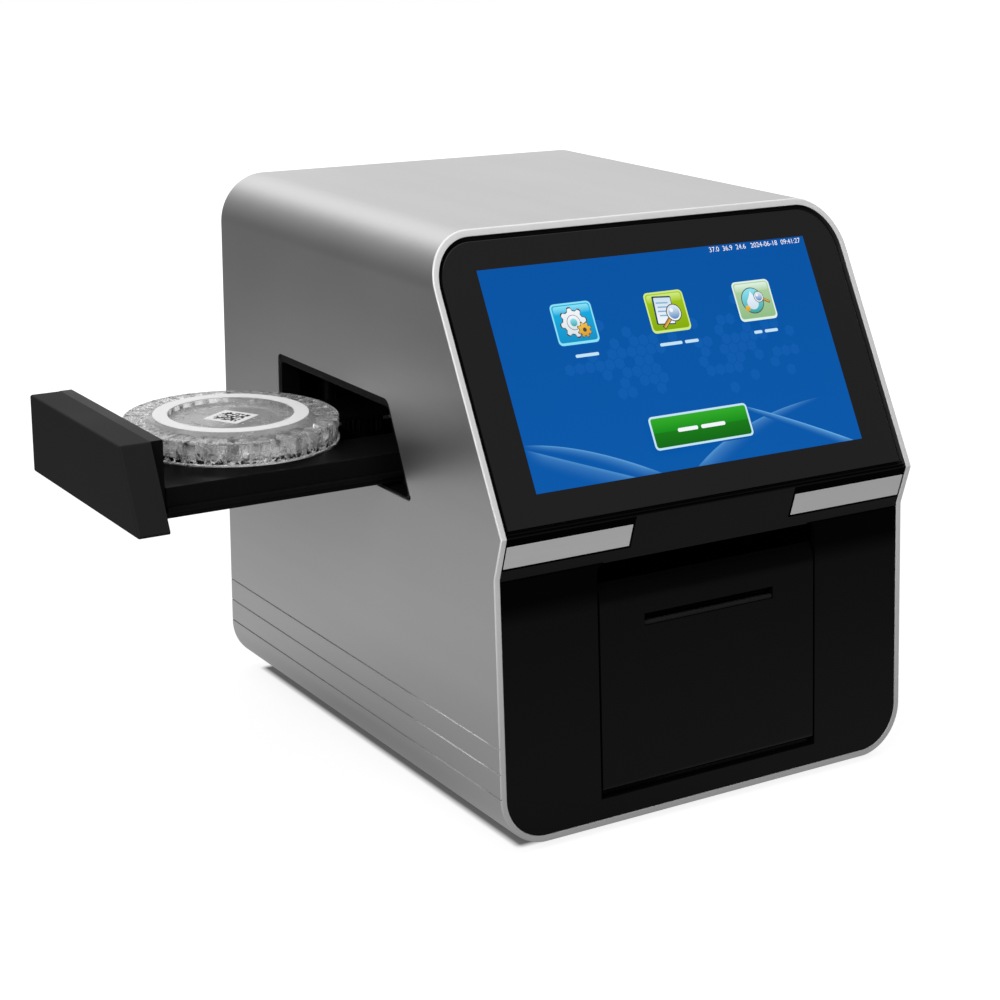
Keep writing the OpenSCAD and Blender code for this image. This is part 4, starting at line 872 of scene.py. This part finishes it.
def makeChin():
    # the CAD bar with the shadow groove under the glass, and for each strip a matt black surround that is
    # painted shade
    half, depth, ahead = sleeve["width"] / 2, -glass["recess"] - chin["grooveDepth"], chin["cutAhead"]
    middle = (chin["grooveLow"] + chin["grooveHigh"]) / 2
    low, high = middle - chin["ridge"] / 2, middle + chin["ridge"] / 2
    groove = blocks(slopePlace, ((-half, chin["grooveLow"], depth), (half, low, ahead)),
                    ((-half, high, depth), (half, chin["grooveHigh"], ahead)))
    dressNode("chin_bar", "chinPlate", chin["ridge"] / 3, cutter=groove)
    outer = half - sleeve["wall"] - chin["sideGap"]
    low, high = chin["stripFoot"] - chin["border"], chin["length"] - chin["topGap"]
    back, face = -chin["recess"] - chin["borderDepth"], -chin["recess"] + chin["borderLift"]
    for side, name in ((-1, "stripShadeLeft"), (1, "stripShadeRight")):
        ends = sorted((side * (chin["stripStart"] - chin["border"]), side * outer))
        addBlock(name, chinPlace, (ends[0], low, back), (ends[1], high, face), chin["borderBevel"],
                 special["paintedShadeBlack"], "housing")


def makeDoor():
    # the CAD door with a square-ended paper slot and the lip that the paper runs over
    half, side, plate, ahead = door["slotHalf"], door["cutHalf"], -door["plate"], door["cutAhead"]
    cuts = blocks(lowerPlace, ((-half, door["slotLow"], -door["slotDepth"]), (half, door["slotHigh"], ahead)),
                  ((-side, 0, plate), (-door["half"], door["cutTop"], ahead)),
                  ((door["half"], 0, plate), (side, door["cutTop"], ahead)))
    dressNode("printer_door", "printerDoor", broken["door"], special["frontBlack"], cutter=cuts)
    addBlock("paperLip", lowerPlace, (-half, door["slotLow"], -chin["recess"] - door["lipBack"]),
             (half, door["lipTop"], -chin["recess"] - door["lipRecess"]), door["lipBevel"],
             finishes["black_plastic"], bodyOf["printer_door"])


makeChin()
makeDoor()
dressNode("chin_strip_left", "chinStripLeft", broken["strip"], edgeMaterial=special["cutEdge"])
dressNode("chin_strip_right", "chinStripRight", broken["strip"], edgeMaterial=special["cutEdge"])
dressNode("lower_fascia", "lowerFascia", broken["fascia"], special["frontBlack"])
dressNode("slot_bezel", "slotBezel", broken["bezel"], special["deepBlack"], corners=broken["bezelCorner"])
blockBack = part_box("drawer_front")[1][0]
seam = (blockBack - broken["seam"] * mm, blockBack + broken["seam"] * mm)
dressNode("drawer_front", "drawerBlock", broken["block"], steps=3, keep=seam)
dressNode("drawer_tray", "drawerTray", broken["tray"], keep=seam)
print("moulded pieces dressed")


# Reagent disc: a clear moulding with a ring of cuvettes, two labels on top
disc = {"place": (-142.1, 129.0, 134.8), "steps": 180, "weld": 1e-4, "cutWeld": 1e-3, "sharp": 25,
        "cuvettes": 30, "cuvetteIn": 34.5, "cuvetteOut": 39.5, "cuvetteHalf": 1.6, "cuvetteTop": 7.7,
        "channelIn": 31.9, "channelOut": 36.5, "channelHalf": 0.32, "channelDepth": 0.35, "channelTop": 11,
        "dimple": 0.8, "dimpleLift": 0.32, "dimpleRadius": 40.4, "frostedTo": 31.9, "rimTop": 9.3,
        "hubTop": 8.7,
        "profile": ((0, 2.9), (4.05, 2.9), (4.05, 0), (12, 0), (12, 1.0), (33.0, 1.0), (33.0, 0), (41.0, 0),
                    (42.1, 0.25), (42.1, 0.75), (41.5, 1.1), (41.5, 4.6), (41.7, 5.0), (42.0, 8.3),
                    (41.75, 9.0), (41.1, 9.3), (31.8, 9.3), (30.4, 10.5), (24.3, 10.5), (24.1, 8.7),
                    (18.5, 8.7), (18.2, 8.45), (16.0, 8.45), (15.7, 8.7), (0, 8.7))}
label = {"half": 7.8, "corner": 0.6, "cornerSteps": 3, "turn": 31, "thick": 0.2, "cells": 13,
         "cellSide": 0.86, "cellLift": 0.02, "dark": 0.56, "seed": 11}
discPlace = toRow @ Matrix.Translation(disc["place"])


def lathe(bm, profile, steps):
    points = [bm.verts.new((r, 0, z)) for r, z in profile]
    edges = [bm.edges.new(pair) for pair in zip(points, points[1:])]
    bmesh.ops.spin(bm, geom=points + edges, cent=(0, 0, 0), axis=(0, 0, 1), angle=math.tau, steps=steps,
                   use_merge=True, use_duplicate=False)
    bmesh.ops.remove_doubles(bm, verts=bm.verts[:], dist=disc["weld"])
    faceOutward(bm)


def turnAbout(bm, verts, angle):
    bmesh.ops.rotate(bm, verts=verts, cent=(0, 0, 0), matrix=Matrix.Rotation(angle, 3, "Z"))


def makeDisc():
    bm = bmesh.new()
    lathe(bm, disc["profile"], disc["steps"])
    cuts = bmesh.new()
    channelFoot = disc["rimTop"] - disc["channelDepth"]
    dimplePlace = (disc["dimpleRadius"], 0, disc["rimTop"] + disc["dimpleLift"])
    for i in range(disc["cuvettes"]):
        angle = i * math.tau / disc["cuvettes"]
        well = block(cuts, (disc["cuvetteIn"], -disc["cuvetteHalf"], -over),
                     (disc["cuvetteOut"], disc["cuvetteHalf"], disc["cuvetteTop"]))
        channel = block(cuts, (disc["channelIn"], -disc["channelHalf"], channelFoot),
                        (disc["channelOut"], disc["channelHalf"], disc["channelTop"]))
        turnAbout(cuts, well + channel, angle)
        dimple = bmesh.ops.create_icosphere(cuts, subdivisions=2, radius=disc["dimple"])["verts"]
        bmesh.ops.translate(cuts, verts=dimple, vec=dimplePlace)
        turnAbout(cuts, dimple, angle + math.pi / disc["cuvettes"])
    faceOutward(cuts)
    bm = welded(cutAway(asMesh(bm, "disc", Matrix()), asMesh(cuts, "wells", Matrix())), disc["cutWeld"])
    for f in bm.faces:
        f.material_index = 1 if f.calc_center_median().xy.length < disc["frostedTo"] else 0
    print("disc:", len(bm.faces), "faces,", openEdges(bm), "open edges")
    addPiece("clearDisc", asMesh(bm, "clearDisc", discPlace), [finishes["clear_plastic"], special["frosted"]],
             "disc", ["reagent_disc"], sharp=disc["sharp"])


def makeCodeLabel():
    # paper with a square of cells, of which some are dark
    bm = bmesh.new()
    pick = random.Random(label["seed"])
    roundOutline(bm, 2 * label["half"], 2 * label["half"], label["corner"], label["cornerSteps"])
    extrude(bm, (0, 0, label["thick"]))
    faceOutward(bm)
    count = len(bm.faces)
    bmesh.ops.create_grid(bm, x_segments=label["cells"], y_segments=label["cells"],
                          size=label["cells"] * label["cellSide"] / 2)
    bm.faces.ensure_lookup_table()
    cells = bm.faces[count:]
    bmesh.ops.translate(bm, vec=(0, 0, label["thick"] + label["cellLift"]),
                        verts=list({v for f in cells for v in f.verts}))
    for f in cells:
        f.material_index = 1
    bmesh.ops.delete(bm, geom=[f for f in cells if pick.random() > label["dark"]], context="FACES")
    place = discPlace @ Matrix.Translation((0, 0, disc["hubTop"])) @ rotation(label["turn"], "Z")
    addPiece("codeLabel", asMesh(bm, "codeLabel", place),
             [finishes["label_paper"], finishes["black_plastic"]], "disc", ["code_label"],
             weighted=False)


makeDisc()
makeCodeLabel()
dressNode("label_ring", "discRing", broken["ring"])
print("disc made")


# Light and floor: a white backdrop for the camera, and a softbox behind on the right that the metal mirrors
studio = {"base": 0.12, "sky": 0.3, "glow": 1.08, "glowLeft": (-0.32, -0.02),
          "glowRight": (0.12, 0.46, 1, 0.6), "glowLow": (-0.06, 0.06), "glowHigh": (0.6, 0.85, 1, 0),
          "glowBack": (0.25, 0.55), "floorHalf": 4, "floorNear": (0.06, 0.17, 0.28, 0.56),
          "floorFar": (0.22, 0.95, 0, 0.41), "floorMatt": 0.26, "floorWhite": (0.3, 0.8, 0.86, 1.06),
          "floorBounce": 0.3, "mottle": 0.04, "under": (("X", 0.0545, 0.0875), ("Y", 0, 0.1105)),
          "underSoft": 0.0035, "underShade": 0.97}
lamps = {
    "overhead": {"place": (0.1, 0.1, 2.0), "aim": (0.1, 0.1, 0), "size": (2.5, 2.5), "watts": 17},
    "frontLeft": {"place": (-1.45, -0.85, 1.25), "aim": (0, 0, 0.12), "size": (1.2, 1.2), "watts": 20},
}


def setWorld():
    world = bpy.data.worlds.new("studio")
    bpy.context.scene.world = world
    s = Shader(world)
    way = s.node("TexCoord", output="Generated")
    across, back, up = (s.axis(name, way) for name in "XYZ")
    softbox = (s.ramp(across, *studio["glowLeft"]) * s.ramp(across, *studio["glowRight"])
               * s.ramp(up, *studio["glowLow"]) * s.ramp(up, *studio["glowHigh"])
               * s.ramp(back, *studio["glowBack"]))
    level = softbox * studio["glow"] + s.ramp(up, 0, 1, studio["base"], studio["base"] + studio["sky"])
    seen = s.seen()
    shown = level * (1 - seen) + seen
    shade = s.node("Background", {}, {"Color": s.node("CombineColor", {}, {0: shown, 1: shown, 2: shown}),
                                      "Strength": 1.0})
    s.node("OutputWorld", {}, {"Surface": shade})


def setFloor():
    # white to the camera but for the shade under the sleeve, and greyer in what mirrors it
    bm = bmesh.new()
    bmesh.ops.create_grid(bm, x_segments=1, y_segments=1, size=studio["floorHalf"])
    mesh = asMesh(bm, "benchTop", Matrix())
    bench = inScene("benchTop", mesh)
    s = newShader("paleBench")
    seen, mirrored = s.seen(), s.node("LightPath", output="Is Glossy Ray")
    spread = s.node("VectorMath", {"operation": "LENGTH"}, {0: s.places()}, "Value")
    inside = 1
    for axis, middle, half in studio["under"]:
        away = s.maths("ABSOLUTE", s.axis(axis) - middle)
        inside = s.ramp(away, half, half - studio["underSoft"]) * inside
    pool = s.ramp(spread, *studio["floorNear"]) - s.ramp(spread, *studio["floorFar"])
    mottle = s.noise(3, 2) * studio["mottle"] + (1 - studio["mottle"])
    bounced = mirrored * pool + (1 - mirrored) * studio["floorBounce"]
    white = s.ramp(spread, *studio["floorWhite"]) * (1 - inside * studio["underShade"])
    level = (seen * white + (1 - seen) * bounced) * mottle
    tone = seen * studio["floorMatt"] * mottle
    matt = s.node("BsdfDiffuse", {}, {"Color": s.node("CombineColor", {}, {0: tone, 1: tone, 2: tone})})
    lit = s.node("Emission", {}, {"Color": (1, 1, 1, 1), "Strength": level})
    s.node("OutputMaterial", {}, {"Surface": s.node("AddShader", {}, {0: lit, 1: matt})})
    mesh.materials.append(s.owner)


def setLamps():
    for name, lamp in lamps.items():
        light = bpy.data.lights.new(name, "AREA")
        light.shape = "RECTANGLE"
        light.size, light.size_y = lamp["size"]
        light.energy = lamp["watts"]
        holder = inScene(name, light)
        turn = (Vector(lamp["aim"]) - Vector(lamp["place"])).to_track_quat("-Z", "Y").to_matrix().to_4x4()
        holder.matrix_world = Matrix.Translation(lamp["place"]) @ turn


setWorld()
setFloor()
setLamps()
bpy.context.scene.view_settings.view_transform = "Standard"
print("studio lit")
